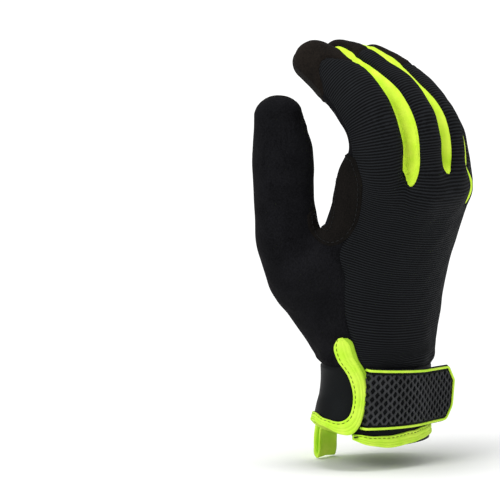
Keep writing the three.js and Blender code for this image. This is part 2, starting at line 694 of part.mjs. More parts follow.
/** The pull tab: a ribbon folded at the bottom, both layers held at the top of the cuff. */
function pullTab() {
  const { foot, out, side } = wristFrame(tabAngle);
  const surface = (z) => {
    const place = wristPoint(rad(tabAngle), z, 0);
    return new THREE.Vector2(place.x, place.y).sub(foot).dot(out);
  };
  const top = cuffHeight - 2;
  const rest = tapeOffset + seamGap;
  const wide = tabLoopGap + 2 * tabThickness;
  const inner = [[surface(top) + seamGap + 0.1, top], [rest, hemTapeHeight + 3], [rest, -tapeOffset]];
  const fold = [[rest + 0.12 * wide, -0.82 * tabDrop], [rest + 0.5 * wide, -tabDrop],
    [rest + 0.9 * wide, -0.82 * tabDrop]];
  const outer = [[rest + wide, -0.3 * tabDrop], [rest + 0.85 * wide, 0.25 * top],
    [rest + 0.45 * wide, 0.65 * top], [surface(top) + seamGap + 2.2 * tabThickness, top]];
  const outline = new THREE.Shape([...inner, ...fold, ...outer].map(([x, z]) => new THREE.Vector2(x, z)));
  const t = tabThickness;
  outline.holes.push(new THREE.Path([[rest + t, hemTapeHeight + 2], [rest + t, -tapeOffset],
    [rest + 0.12 * wide + t, -0.75 * tabDrop], [rest + 0.5 * wide, -tabDrop + t],
    [rest + 0.86 * wide - t, -0.75 * tabDrop], [rest + wide - t, -0.3 * tabDrop],
    [rest + 0.85 * wide - t, 0.25 * top], [rest + 0.45 * wide - t * 0.6, 0.62 * top],
  ].map(([x, z]) => new THREE.Vector2(x, z))));
  const ribbon = new THREE.ExtrudeGeometry(outline, { depth: tabWidth, bevelEnabled: false, steps: 1 });
  ribbon.deleteAttribute("normal");
  ribbon.deleteAttribute("uv");
  const merged = mergeVertices(ribbon);
  const place = merged.attributes.position;
  const points = Array.from({ length: place.count }, (_, i) => {
    const plan = foot.clone().addScaledVector(out, place.getX(i))
      .addScaledVector(side, place.getZ(i) - tabWidth / 2);
    return new THREE.Vector3(plan.x, plan.y, place.getY(i));
  });
  const index = Array.from(merged.index.array);
  const triangles = Array.from({ length: index.length / 3 }, (_, i) => index.slice(3 * i, 3 * i + 3));
  return toSolid(points, triangles);
}

/** A patch laid over the cloth inside a region. */
function patch(region) {
  return gloveForm(seamGap + patchThickness).subtract(gloveForm(seamGap)).intersect(region);
}

/** The region of the palm patch: a band across the upper palm and down its middle to the cuff. */
function palmPatchRegion() {
  return loft(patchEdges.map((row) => {
    const corner = (x, up, y) => new THREE.Vector3(x * palmWidth, y, cuffHeight + up * handLength);
    const inside = column(handSections, row.thumbUp, "y") * palmDepth;
    return [
      corner(row.thumbX, row.thumbUp, inside),
      corner(row.heelX, row.heelUp, inside),
      corner(row.heelX, row.heelUp, far),
      corner(row.thumbX, row.thumbUp, far),
    ];
  }));
}

/** The region of the crotch patch: a U in the plane of thumb and index finger. */
function crotchRegion(margin) {
  const across = new THREE.Vector3(0.682, -0.731, 0);
  const deep = new THREE.Vector3(0.731, 0.682, 0);
  return loft(crotchEdges.map((row) => {
    const corner = (share, up, depth) => new THREE.Vector3(0, 0, cuffHeight + up * handLength)
      .addScaledVector(across, share * palmWidth)
      .addScaledVector(deep, depth * palmWidth);
    const ring = [
      corner(row.outAcross, row.outUp, -0.7),
      corner(row.inAcross, row.inUp, -0.7),
      corner(row.inAcross, row.inUp, -0.24 + margin / palmWidth),
      corner(row.outAcross, row.outUp, -0.24 + margin / palmWidth),
    ];
    const outward = ring[0].clone().sub(ring[1]).normalize().multiplyScalar(2 * margin);
    return ring.map((point, i) => (i === 0 || i === 3 ? point.add(outward) : point));
  }));
}

const arcLength = (() => {
  let length = 0;
  for (let i = 0; i < 16; i += 1) {
    length += strapPoint(i / 16, strapLift, 0).distanceTo(strapPoint((i + 1) / 16, strapLift, 0));
  }
  return length;
})();

const stripsOpened = fourchettes
  .map((strip) => fourchetteRegion(strip, seamGap).add(fourchetteRegion(strip, 0)))
  .reduce((all, strip) => all.add(strip));
const palmOpened = palmRegion(seamGap);
const thumbOpened = thumbRegion(seamGap);
const strapLow = seamGap + 0.1;
const gripLow = strapLow + strapThickness + seamGap;

const glove = new THREE.Group();
glove.name = "mechanic_glove";

/** Add one named piece to the glove. */
function addPiece(name, solid, material) {
  const mesh = new THREE.Mesh(mainBody(solid), new THREE.MeshStandardMaterial(material));
  mesh.name = name;
  glove.add(mesh);
}

addPiece("back_panel", shell.subtract(palmOpened).subtract(thumbOpened).subtract(stripsOpened)
  .subtract(slitCut), materials.knit);
addPiece("palm_panel", shell.intersect(palmRegion(0)).subtract(thumbOpened).subtract(stripsOpened)
  .subtract(slitCut), materials.suede);
addPiece("thumb_panel", shell.intersect(thumbRegion(0)).subtract(slitCut), materials.suede);
for (const strip of fourchettes) {
  addPiece(strip.name, shell.intersect(fourchetteRegion(strip, 0)), materials.lime);
}
addPiece("palm_patch", patch(palmPatchRegion().subtract(crotchRegion(seamGap))), materials.patch);
addPiece("thumb_crotch_patch", patch(crotchRegion(0)), materials.patch);
addPiece("index_tip_cap", patch(digits.index.slice(0.8, 1, 95, 265, 3, indexWidth)), materials.touch);
addPiece("thumb_tip_patch", patch(digits.thumb.slice(0.78, 1, 95, 265, 3, thumbWidth)), materials.touch);
addPiece("cuff_band", wristTube(-cuffWall, 0, 0, cuffHeight - seamGap / 2).subtract(slitCut),
  materials.neoprene);
addPiece("hem_tape", hemTape(), materials.lime);
addPiece("slit_tape_thumb", slitTape(-1, slitTapeWidth), materials.lime);
addPiece("slit_tape_back", slitTape(1, slitInnerTapeWidth), materials.lime);
addPiece("closure_strap", strapPlate(0, strapLow, strapLow + strapThickness), materials.neoprene);
addPiece("strap_grip", strapGrip(gripLow, gripLow + gripThickness), materials.rubber);
addPiece("strap_piping", strapPlate(pipingInset, gripLow, gripLow + pipingThickness)
  .subtract(strapPlate(pipingInset + pipingWidth, gripLow - 1, gripLow + pipingThickness + 1, -0.1)),
materials.lime);
addPiece("pull_tab", pullTab(), materials.lime);

export default glove;
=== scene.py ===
"""Mechanic glove for a right hand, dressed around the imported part.

Lengths are millimetres until a mesh is made. +Z runs to the fingertips, -Y out of the back of the hand and
-X to the thumb. The cloth is one smooth skin, cut into panels along its seams.
"""

import logging
import math
from dataclasses import dataclass, field
from enum import Enum
from typing import Optional, Sequence

import bpy
import numpy as np
import openvdb
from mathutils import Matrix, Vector
from mathutils.bvhtree import BVHTree
from mathutils.kdtree import KDTree


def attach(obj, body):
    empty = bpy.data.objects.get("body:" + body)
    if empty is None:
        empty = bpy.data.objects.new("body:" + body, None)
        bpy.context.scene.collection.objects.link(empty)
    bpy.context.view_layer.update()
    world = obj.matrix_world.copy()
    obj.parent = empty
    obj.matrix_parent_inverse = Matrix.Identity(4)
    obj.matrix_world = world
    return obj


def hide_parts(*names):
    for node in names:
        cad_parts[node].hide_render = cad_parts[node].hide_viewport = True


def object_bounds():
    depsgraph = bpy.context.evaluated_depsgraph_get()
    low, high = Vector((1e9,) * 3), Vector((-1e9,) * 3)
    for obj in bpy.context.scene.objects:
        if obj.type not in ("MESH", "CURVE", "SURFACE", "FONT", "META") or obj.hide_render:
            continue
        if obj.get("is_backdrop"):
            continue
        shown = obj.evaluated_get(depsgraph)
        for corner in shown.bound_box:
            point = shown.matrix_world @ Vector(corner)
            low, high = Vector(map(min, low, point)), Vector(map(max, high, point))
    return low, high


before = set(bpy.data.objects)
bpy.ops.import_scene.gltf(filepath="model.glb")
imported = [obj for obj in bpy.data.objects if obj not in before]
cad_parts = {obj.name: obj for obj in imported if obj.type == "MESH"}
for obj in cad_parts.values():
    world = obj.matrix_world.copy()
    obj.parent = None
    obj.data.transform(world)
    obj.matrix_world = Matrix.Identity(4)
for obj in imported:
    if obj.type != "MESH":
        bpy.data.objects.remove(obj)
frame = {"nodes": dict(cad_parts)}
LOG = logging.getLogger("mechanic_glove")
MM = 0.001
Rows = Sequence[Sequence[float]]


class Slot(Enum):
    """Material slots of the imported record."""

    RIB_KNIT = "rib_knit"
    SUEDE = "suede"
    PATCH_SUEDE = "patch_suede"
    TOUCH_CLOTH = "touch_cloth"
    LIME_KNIT = "lime_knit"
    LIME_TAPE = "lime_tape"
    NEOPRENE = "neoprene"
    RUBBER_NET = "rubber_net"


def hermite(knots: np.ndarray, values: np.ndarray, at: np.ndarray) -> np.ndarray:
    """Smooth values of table columns between their rows.

    Args:
        knots: Rising places of the rows.
        values: One row of values for each knot.
        at: Places to read.

    Returns:
        One row of values for each place.
    """
    knots, values, at = (np.asarray(v, float) for v in (knots, values, at))
    slopes = np.gradient(values, knots, axis=0)
    row = np.clip(np.searchsorted(knots, at, side="right") - 1, 0, len(knots) - 2)
    span = knots[row + 1] - knots[row]
    t = np.clip((at - knots[row]) / span, 0, 1)
    if values.ndim > 1:
        t, span = t[:, None], span[:, None]
    a, b = values[row], values[row + 1]
    return (a * (1 + 2 * t) * (1 - t) ** 2 + b * t * t * (3 - 2 * t)
            + span * (slopes[row] * t * (1 - t) ** 2 - slopes[row + 1] * t * t * (1 - t)))


def centripetal(places: np.ndarray, shares: np.ndarray) -> np.ndarray:
    """Points of a centripetal Catmull-Rom curve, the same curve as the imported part's.

    Args:
        places: The points that the curve goes through.
        shares: Shares of the row of points, from 0 to 1.

    Returns:
        One point for each share.
    """
    ends = np.vstack([2 * places[0] - places[1], places, 2 * places[-1] - places[-2]])
    at = np.asarray(shares) * (len(places) - 1)
    row = np.clip(at.astype(int), 0, len(places) - 2)
    w = (at - row)[:, None]
    p0, p1, p2, p3 = (ends[row + k] for k in range(4))
    d0, d1, d2 = (np.sqrt(np.linalg.norm(b - a, axis=1))[:, None] for a, b in ((p0, p1), (p1, p2), (p2, p3)))
    m1 = ((p1 - p0) / d0 - (p2 - p0) / (d0 + d1) + (p2 - p1) / d1) * d1
    m2 = ((p2 - p1) / d1 - (p3 - p1) / (d1 + d2) + (p3 - p2) / d2) * d1
    return p1 + w * m1 + w ** 2 * (3 * (p2 - p1) - 2 * m1 - m2) + w ** 3 * (2 * (p1 - p2) + m1 + m2)


def smoothstep(low: float, high: float, at: np.ndarray) -> np.ndarray:
    """Soft step from 0 at low to 1 at high."""
    t = np.clip((at - low) / (high - low), 0, 1)
    return t * t * (3 - 2 * t)


def soft_min(a: np.ndarray, b: np.ndarray, reach: float) -> np.ndarray:
    """Least of two fields, rounded over a reach where they meet."""
    t = np.clip(0.5 + 0.5 * (b - a) / reach, 0, 1)
    return b + (a - b) * t - reach * t * (1 - t)


def unit(vectors: np.ndarray) -> np.ndarray:
    """Rows scaled to length one."""
    return vectors / np.maximum(np.linalg.norm(vectors, axis=-1, keepdims=True), 1e-12)


def run_lengths(line: np.ndarray) -> np.ndarray:
    """Length of a line up to each of its points."""
    return np.concatenate([[0], np.cumsum(np.linalg.norm(np.diff(line, axis=0), axis=1))])


def nearest(points: np.ndarray, places: np.ndarray) -> np.ndarray:
    """Index of the place nearest to each point."""
    return ((points ** 2).sum(1)[:, None] - 2 * points @ places.T + (places ** 2).sum(1)).argmin(1)


def outline_distance(points: np.ndarray, outline: np.ndarray) -> np.ndarray:
    """Distance of points in a plane from a closed outline.

    Args:
        points: Points, two columns.
        outline: Corners in order, two columns.

    Returns:
        The distance of each point, positive inside.
    """
    best = np.full(len(points), 1e9)
    inside = np.zeros(len(points), bool)
    for a, b in zip(outline, np.roll(outline, -1, axis=0)):
        edge = b - a
        t = np.clip(((points - a) @ edge) / max(edge @ edge, 1e-12), 0, 1)
        best = np.minimum(best, np.linalg.norm(points - a - t[:, None] * edge, axis=1))
        if a[1] != b[1]:
            cross = a[0] + (points[:, 1] - a[1]) * edge[0] / edge[1]
            inside ^= ((a[1] > points[:, 1]) != (b[1] > points[:, 1])) & (points[:, 0] < cross)
    return np.where(inside, best, -best)


def rounded(outline: Sequence[tuple[float, float, float]], steps: int = 8) -> np.ndarray:
    """Closed outline with its corners rounded.

    Args:
        outline: Corners in order, as place, place and radius.
        steps: Points on each rounded corner.

    Returns:
        The points of the outline, two columns.
    """
    corners = np.array([c[:2] for c in outline], float)
    points = []
    for i, (_, _, radius) in enumerate(outline):
        here, before, after = corners[i], corners[i - 1], corners[(i + 1) % len(corners)]
        if radius <= 0:
            points.append(here)
            continue
        back, on = unit(before - here), unit(after - here)
        half = math.acos(float(np.clip(back @ on, -1, 1))) / 2
        cut = radius / math.tan(half)
        a, b = here + back * cut, here + on * cut
        for t in np.linspace(0, 1, steps):
            points.append(a * (1 - t) ** 2 + 2 * here * t * (1 - t) + b * t * t)
    return np.array(points)


@dataclass
class Mesh:
    """Triangle mesh with named values on its points, in millimetres."""

    points: np.ndarray
    faces: np.ndarray
    values: dict[str, np.ndarray] = field(default_factory=dict)

    def normals(self) -> np.ndarray:
        """Unit normal at each point, from the triangles around it.

        Returns:
            One normal for each point.
        """
        p = self.points
        f = self.faces
        cross = np.cross(p[f[:, 1]] - p[f[:, 0]], p[f[:, 2]] - p[f[:, 0]])
        total = np.zeros_like(p)
        for k in range(3):
            for axis in range(3):
                total[:, axis] += np.bincount(f[:, k], cross[:, axis], len(p))
        return unit(total)

    def edges(self) -> np.ndarray:
        """The three edges of every triangle, in the order that the triangle runs them."""
        return np.vstack([self.faces[:, [0, 1]], self.faces[:, [1, 2]], self.faces[:, [2, 0]]])

    def outward(self) -> "Mesh":
        """Closed mesh with its triangles facing outwards.

        Returns:
            This mesh, or a copy whose triangles are turned over.
        """
        p, f = self.points, self.faces
        turned = np.einsum("ij,ij->", p[f[:, 0]], np.cross(p[f[:, 1]], p[f[:, 2]])) < 0
        return Mesh(p, f[:, ::-1]) if turned else self

    def keep_normals(self) -> None:
        """Store the normals as values, so that later cuts don't disturb them at their edges."""
        self.values.update(zip(("nx", "ny", "nz"), self.normals().T))

    def kept_normals(self) -> np.ndarray:
        """Stored normals, made unit length again."""
        return unit(np.stack([self.values[k] for k in ("nx", "ny", "nz")], 1))

    def smoothed(self, rounds: int, name: Optional[str] = None) -> "Mesh":
        """Copy with its points, or one of its values, averaged with their neighbours.

        Args:
            rounds: How many times they are averaged.
            name: The value, or None for the points.

        Returns:
            The smoothed copy.
        """
        e = np.unique(np.sort(self.edges(), axis=1), axis=0)
        count = np.bincount(e.ravel(), minlength=len(self.points)).astype(float)
        data = self.points if name is None else self.values[name][:, None]
        for step in range(rounds):
            total = np.zeros_like(data)
            for a, b in ((0, 1), (1, 0)):
                for k in range(data.shape[1]):
                    total[:, k] += np.bincount(e[:, a], data[e[:, b], k], len(data))
            pull = 0.5 if step % 2 == 0 or name is not None else -0.52
            data = data + pull * (total / count[:, None] - data)
        if name is None:
            return Mesh(data, self.faces, dict(self.values))
        return Mesh(self.points, self.faces, {**self.values, name: data[:, 0]})

    def split(self, name: str) -> "Mesh":
        """Copy whose triangles are cut along the line where a value is zero.

        Args:
            name: The value.

        Returns:
            The cut mesh, on which no triangle spans the line.
        """
        value = self.values[name].copy()
        value[np.abs(value) < 1e-4] = 1e-4
        above = value[self.faces] > 0
        mixed = above.any(1) & ~above.all(1)
        f, up = self.faces[mixed], above[mixed]
        lone = np.where(up.sum(1) == 1, up.argmax(1), (~up).argmax(1))
        row = np.arange(len(f))
        a, b, c = f[row, lone], f[row, (lone + 1) % 3], f[row, (lone + 2) % 3]
        pairs = np.vstack([np.sort(np.stack([a, b], 1), 1), np.sort(np.stack([a, c], 1), 1)])
        edges, where = np.unique(pairs, axis=0, return_inverse=True)
        where = where.reshape(-1) + len(self.points)
        p, q = where[:len(f)], where[len(f):]
        t = value[edges[:, 0]] / (value[edges[:, 0]] - value[edges[:, 1]])
        mix = lambda v: v[edges[:, 0]] + (v[edges[:, 1]] - v[edges[:, 0]]) * (t[:, None] if v.ndim > 1 else t)
        points = np.vstack([self.points, mix(self.points)])
        values = {k: np.concatenate([v, mix(v)]) for k, v in self.values.items()}
        values[name] = np.concatenate([value, np.zeros(len(edges))])
        cut = [np.stack([a, p, q], 1), np.stack([p, b, c], 1), np.stack([p, c, q], 1)]
        return Mesh(points, np.vstack([self.faces[~mixed], *cut]), values)

    def middle(self, name: str) -> np.ndarray:
        """A value at the middle of each triangle."""
        return self.values[name][self.faces].mean(1)

    def keep(self, faces: np.ndarray) -> "Mesh":
        """Copy with only some of the triangles, given by a mask.

        Args:
            faces: Mask of the triangles.

        Returns:
            The smaller mesh.
        """
        used, index = np.unique(self.faces[faces], return_inverse=True)
        values = {k: v[used] for k, v in self.values.items()}
        return Mesh(self.points[used], index.reshape(-1, 3), values)

    def rim(self) -> np.ndarray:
        """Edges with one triangle, in the order that its triangle runs them.

        Returns:
            Two points for each edge.
        """
        e = self.edges()
        key = np.sort(e, axis=1)
        _, first, count = np.unique(key, axis=0, return_index=True, return_counts=True)
        return e[first[count == 1]]

    def main_body(self) -> "Mesh":
        """Copy with only the largest connected body.

        Returns:
            The body.
        """
        owner = np.arange(len(self.points))
        while True:
            low = owner[self.faces].min(1)
            new = owner.copy()
            for k in range(3):
                np.minimum.at(new, self.faces[:, k], low)
            new = new[new]
            if (new == owner).all():
                break
            owner = new
        body = owner[self.faces[:, 0]]
        names, counts = np.unique(body, return_counts=True)
        return self.keep(body == names[counts.argmax()])

    def thick(self, depth: float) -> "Mesh":
        """Closed copy with a second skin at a depth under this one and a rim between them.

        Args:
            depth: Distance between the two skins.

        Returns:
            The closed mesh.
        """
        n = len(self.points)
        outward = self.normals() if "nx" not in self.values else self.kept_normals()
        inner = self.points - outward * depth
        rim = self.rim()
        a, b = rim[:, 0], rim[:, 1]
        sides = np.vstack([np.stack([b, a, a + n], 1), np.stack([b, a + n, b + n], 1)])
        faces = np.vstack([self.faces, self.faces[:, ::-1] + n, sides])
        values = {k: np.concatenate([v, v]) for k, v in self.values.items()}
        return Mesh(np.vstack([self.points, inner]), faces, values)

    def contour(self, name: str, level: float) -> list[np.ndarray]:
        """Lines on the mesh along which a value has one level.

        Args:
            name: The value.
            level: The level of the lines.

        Returns:
            The points of each line, in order.
        """
        value = self.values[name] - level
        value[np.abs(value) < 1e-5] = 1e-5
        above = value[self.faces] > 0
        f = self.faces[above.any(1) & ~above.all(1)]
        up = value[f] > 0
        lone = np.where(up.sum(1) == 1, up.argmax(1), (~up).argmax(1))
        row = np.arange(len(f))
        ends = []
        places: dict[tuple[int, int], np.ndarray] = {}
        for k in (1, 2):
            pair = np.sort(np.stack([f[row, lone], f[row, (lone + k) % 3]], 1), 1)
            t = (value[pair[:, 0]] / (value[pair[:, 0]] - value[pair[:, 1]]))[:, None]
            spots = self.points[pair[:, 0]] * (1 - t) + self.points[pair[:, 1]] * t
            keys = [tuple(p) for p in pair.tolist()]
            places.update(zip(keys, spots))
            ends.append(keys)
        links: dict[tuple[int, int], list[tuple[int, int]]] = {}
        for one, two in zip(*ends):
            links.setdefault(one, []).append(two)
            links.setdefault(two, []).append(one)
        lines = []
        starts = [k for k, v in links.items() if len(v) == 1] + list(links)
        for start in starts:
            if start not in links:
                continue
            chain = [start]
            while True:
                on = [k for k in links.pop(chain[-1]) if k in links]
                if not on:
                    break
                chain.append(on[0])
            lines.append(np.array([places[k] for k in chain]))
        return [line for line in lines if len(line) > 3]


def tube(rings: np.ndarray, capped: bool = True) -> Mesh:
    """Mesh skinned over rings of points.

    Args:
        rings: Rings with equal counts: ring, point, place.
        capped: Whether both ends are closed.

    Returns:
        The tube.
    """
    count, sides, _ = rings.shape
    points = rings.reshape(-1, 3)
    a = (np.arange(count - 1)[:, None] * sides + np.arange(sides)).ravel()
    b = (np.arange(count - 1)[:, None] * sides + (np.arange(sides) + 1) % sides).ravel()
    faces = [np.stack([a, b, b + sides], 1), np.stack([a, b + sides, a + sides], 1)]
    if capped:
        ends = np.stack([rings[0].mean(0), rings[-1].mean(0)])
        points = np.vstack([points, ends])
        one = np.arange(sides)
        two = (one + 1) % sides
        last = (count - 1) * sides
        faces.append(np.stack([two, one, np.full(sides, count * sides)], 1))
        faces.append(np.stack([one + last, two + last, np.full(sides, count * sides + 1)], 1))
    return Mesh(points, np.vstack(faces)).outward()


def sheet(outline: np.ndarray, step: float) -> Mesh:
    """Flat triangle mesh inside a closed outline.

    Args:
        outline: Corners of the outline, two columns.
        step: Size of its triangles.

    Returns:
        The mesh, with the value "edge" for the distance from the outline.
    """
    low, high = outline.min(0) - step, outline.max(0) + step
    across, up = (np.arange(low[k], high[k] + step, step) for k in (0, 1))
    u, v = np.meshgrid(across, up, indexing="ij")
    index = np.arange(u.size).reshape(u.shape)
    a, b, c, d = index[:-1, :-1].ravel(), index[1:, :-1].ravel(), index[1:, 1:].ravel(), index[:-1, 1:].ravel()
    faces = np.vstack([np.stack([a, b, c], 1), np.stack([a, c, d], 1)])
    points = np.stack([u.ravel(), v.ravel(), np.zeros(u.size)], 1)
    flat = Mesh(points, faces, {"edge": outline_distance(points[:, :2], outline)}).split("edge")
    return flat.keep(flat.middle("edge") > 0)


def joined(meshes: Sequence[Mesh]) -> Mesh:
    """One mesh from several, without their values."""
    starts = np.cumsum([0] + [len(m.points) for m in meshes])
    return Mesh(np.vstack([m.points for m in meshes]), np.vstack([m.faces + s for m, s in zip(meshes, starts)]))


def wavy(points: np.ndarray, wavelength: float, seed: int, waves: int = 9) -> np.ndarray:
    """Soft random swell over places, between about -1 and 1.

    Args:
        points: Places, three columns.
        wavelength: Mean length of a wave.
        seed: Seed of the swell.
        waves: How many plane waves are added.

    Returns:
        One height for each place.
    """
    rng = np.random.default_rng(seed)
    heading = unit(rng.normal(size=(waves, 3))) * (2 * math.pi / (wavelength * rng.uniform(0.7, 1.5, waves)))[:, None]
    return np.sin(points @ heading.T + rng.uniform(0, 6.3, waves)).sum(1) / math.sqrt(waves)


@dataclass
class Volume:
    """Distance field on a grid of equal cells."""

    origin: np.ndarray
    step: float
    cells: np.ndarray

    @classmethod
    def around(cls, mesh: Mesh, origin: np.ndarray, shape: tuple[int, int, int], step: float,
               band: float) -> "Volume":
        """Distance from a closed mesh, positive outside, up to a band.

        Args:
            mesh: The closed mesh.
            origin: Index of the first cell along each axis.
            shape: Count of cells along each axis.
            step: Size of a cell.
            band: Largest distance kept.

        Returns:
            The field.
        """
        grid = openvdb.FloatGrid.createLevelSetFromPolygons(
            mesh.points.astype(np.float32), triangles=mesh.faces.astype(np.uint32),
            transform=openvdb.createLinearTransform(step), halfWidth=band / step)
        cells = np.zeros(shape, np.float32)
        grid.copyToArray(cells, ijk=tuple(int(v) for v in origin))
        return cls(origin, step, cells)

    def at(self, points: np.ndarray) -> np.ndarray:
        """Field at places between the cells.

        Args:
            points: The places.

        Returns:
            One value for each place.
        """
        place = points / self.step - self.origin
        low = np.clip(np.floor(place).astype(int), 0, np.array(self.cells.shape) - 2)
        t = place - low
        total = np.zeros(len(points))
        for i in (0, 1):
            for j in (0, 1):
                for k in (0, 1):
                    share = np.prod(np.where([i, j, k], t, 1 - t), axis=1)
                    total += share * self.cells[low[:, 0] + i, low[:, 1] + j, low[:, 2] + k]
        return total

    def surface(self) -> Mesh:
        """Mesh where the field is zero.

        Returns:
            The mesh, facing outwards.
        """
        grid = openvdb.FloatGrid(float(self.cells.max()))
        grid.copyFromArray(self.cells, ijk=tuple(int(v) for v in self.origin))
        grid.transform = openvdb.createLinearTransform(self.step)
        points, faces, quads = grid.convertToPolygons(isovalue=0.0, adaptivity=0.0)
        quads = quads.astype(int)
        faces = np.vstack([faces.astype(int), quads[:, [0, 1, 2]], quads[:, [0, 2, 3]]])
        return Mesh(points.astype(float), faces).outward()


@dataclass(frozen=True)
class Hand:
    """Sizes of the hand part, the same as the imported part's."""

    length: float = 178
    palm_width: float = 90
    palm_depth: float = 44
    cuff_height: float = 43
    wrist_width: float = 74
    wrist_depth: float = 52
    hem_rise: float = 12
    hem_rise_angle: float = 165
    # Rows: up, x, y, wide and deep, as shares of the cuff's height, the wrist's width and its depth
    wrist: Rows = ((0, 0, 0, 1, 1), (0.35, 0.01, 0, 0.965, 0.96), (0.8, 0.03, -0.02, 0.935, 0.94))
    # Rows: up, x, y, wide, back, front and arch, as shares of the hand's length, palm width and palm depth
    sections: Rows = ((0.012, 0.034, -0.036, 0.805, 0.575, 0.575, 0), (0.05, 0.03, -0.05, 0.83, 0.57, 0.57, 0),
                      (0.135, 0.03, -0.14, 0.88, 0.51, 0.53, 0.02), (0.315, 0.05, -0.37, 0.93, 0.42, 0.46, 0.12),
                      (0.44, 0.072, -0.6, 0.97, 0.36, 0.4, 0.22), (0.545, 0.09, -0.8, 0.95, 0.35, 0.36, 0.34),
                      (0.6, 0.095, -0.84, 0.84, 0.2, 0.24, 0.34))

    def columns(self) -> tuple[np.ndarray, np.ndarray]:
        """Heights of all sections, and their x, y, half width, back, front and arch as lengths.

        Returns:
            The heights, and one row of lengths for each.
        """
        w, d = self.wrist_width, self.wrist_depth / 2
        rows = [(up * self.cuff_height, x * w, y * 2 * d, wide * w / 2, deep * d, deep * d, 0)
                for up, x, y, wide, deep in self.wrist]
        p, q = self.palm_width, self.palm_depth
        rows += [(self.cuff_height + up * self.length, x * p, y * q, wide * p / 2, back * q, front * q, arch * q)
                 for up, x, y, wide, back, front, arch in self.sections]
        table = np.array(rows, float)
        return table[:, 0], table[:, 1:]

    def ring_point(self, turn: np.ndarray, height: np.ndarray, offset: np.ndarray | float = 0) -> np.ndarray:
        """Points on the wrist and hand.

        Args:
            turn: Angles from +X towards the palm, in radians.
            height: Heights above the hem.
            offset: Distance out of the surface.

        Returns:
            The points, before the hem's curve.
        """
        knots, table = self.columns()
        turn, height = np.broadcast_arrays(np.asarray(turn, float), np.asarray(height, float))
        x, y, across, back, front, arch = hermite(knots, table, height.ravel()).T
        t = turn.ravel()
        off = np.broadcast_to(offset, turn.shape).ravel()
        deep = np.where(np.sin(t) > 0, front, back) + off
        place = np.stack([x + (across + off) * np.cos(t), y + arch * np.cos(t) ** 2 + deep * np.sin(t),
                          height.ravel()], 1)
        return place.reshape(*turn.shape, 3)

    def cuff_point(self, turn: np.ndarray, height: np.ndarray, offset: np.ndarray | float = 0) -> np.ndarray:
        """Points on the cuff, with the hem's curve that rises on the thumb's side.

        Args:
            turn: Angles from +X towards the palm, in radians.
            height: Heights above the hem.
            offset: Distance out of the surface.

        Returns:
            The points.
        """
        place = self.ring_point(turn, height, offset)
        facing = np.maximum(0, np.cos(turn - math.radians(self.hem_rise_angle))) ** 1.6
        lift = self.hem_rise * facing * np.clip(1 - np.asarray(height) / (0.6 * self.cuff_height), 0, 1.05)
        place[..., 2] += lift
        return place

    def overlap(self, turn: np.ndarray) -> np.ndarray:
        """How far the knit reaches down over the cuff: most at the little finger's side of the back."""
        return 3.2 * smoothstep(-0.1, 0.7, np.cos(turn - math.radians(300)))

    def place(self, x: float, y: float, up: float) -> np.ndarray:
        """Point from shares of the palm's width and depth and the hand's length."""
        return np.array([x * self.palm_width, y * self.palm_depth, self.cuff_height + up * self.length])


@dataclass
class Spot:
    """Where points lie along and around a digit."""

    share: np.ndarray
    arc: np.ndarray
    angle: np.ndarray


@dataclass
class Digit:
    """One digit: its route, widths and side direction."""

    hand: Hand
    width: float
    rows: Rows
    ulnar: tuple[float, float, float]
    stations: int = 121

    def __post_init__(self) -> None:
        """Work out the stations of the route."""
        table = np.array(self.rows, float)
        self.shares = np.linspace(0, 1, self.stations)
        corners = np.array([self.hand.place(*row[:3]) for row in self.rows])
        self.places = centripetal(corners, self.shares)
        self.along = unit(np.gradient(self.places, axis=0))
        self.back = unit(np.cross(np.array(self.ulnar), self.along))
        self.side = unit(np.cross(self.along, self.back))
        half = hermite(np.linspace(0, 1, len(table)), table[:, 3:5], self.shares) * self.width / 2
        self.across, self.deep = half.T
        self.arc = run_lengths(self.places)

    def solid(self) -> Mesh:
        """Closed digit with a round tip.

        Returns:
            The digit's mesh.
        """
        turns = np.linspace(0, 2 * math.pi, 48, endpoint=False)
        circle = lambda i, scale, lift: (
            self.places[i] + self.along[i] * lift
            + np.outer(np.sin(turns), self.side[i]) * self.across[i] * scale
            + np.outer(np.cos(turns), self.back[i]) * self.deep[i] * scale)
        rings = [circle(i, 1, 0) for i in range(0, self.stations, 2)]
        for bend in np.radians([15, 30, 45, 60, 72, 84]):
            rings.append(circle(-1, math.cos(bend), self.deep[-1] * math.sin(bend)))
        return tube(np.array(rings))

    def locate(self, points: np.ndarray) -> Spot:
        """Nearest station of each point and its angle from the back to the ulnar side, in degrees.

        Args:
            points: The points.

        Returns:
            Where the points lie on the digit.
        """
        near = nearest(points, self.places)
        off = points - self.places[near]
        past = np.einsum("ij,ij->i", off, self.along[near])
        side = np.einsum("ij,ij->i", off, self.side[near]) / self.across[near]
        back = np.einsum("ij,ij->i", off, self.back[near]) / self.deep[near]
        speed = np.gradient(self.arc, self.shares)[near]
        share = self.shares[near] + past / speed
        return Spot(share, self.arc[near] + past, np.degrees(np.arctan2(side, back)))


def linear(colour: str) -> tuple[float, float, float, float]:
    """Linear colour from an sRGB hex value."""
    parts = [int(colour[i:i + 2], 16) / 255 for i in (1, 3, 5)]
    return (*(c / 12.92 if c <= 0.04045 else ((c + 0.055) / 1.055) ** 2.4 for c in parts), 1.0)


def features(size: float) -> float:
    """Texture scale whose features have a size in millimetres, for coordinates in metres."""
    return 1 / (size * MM)


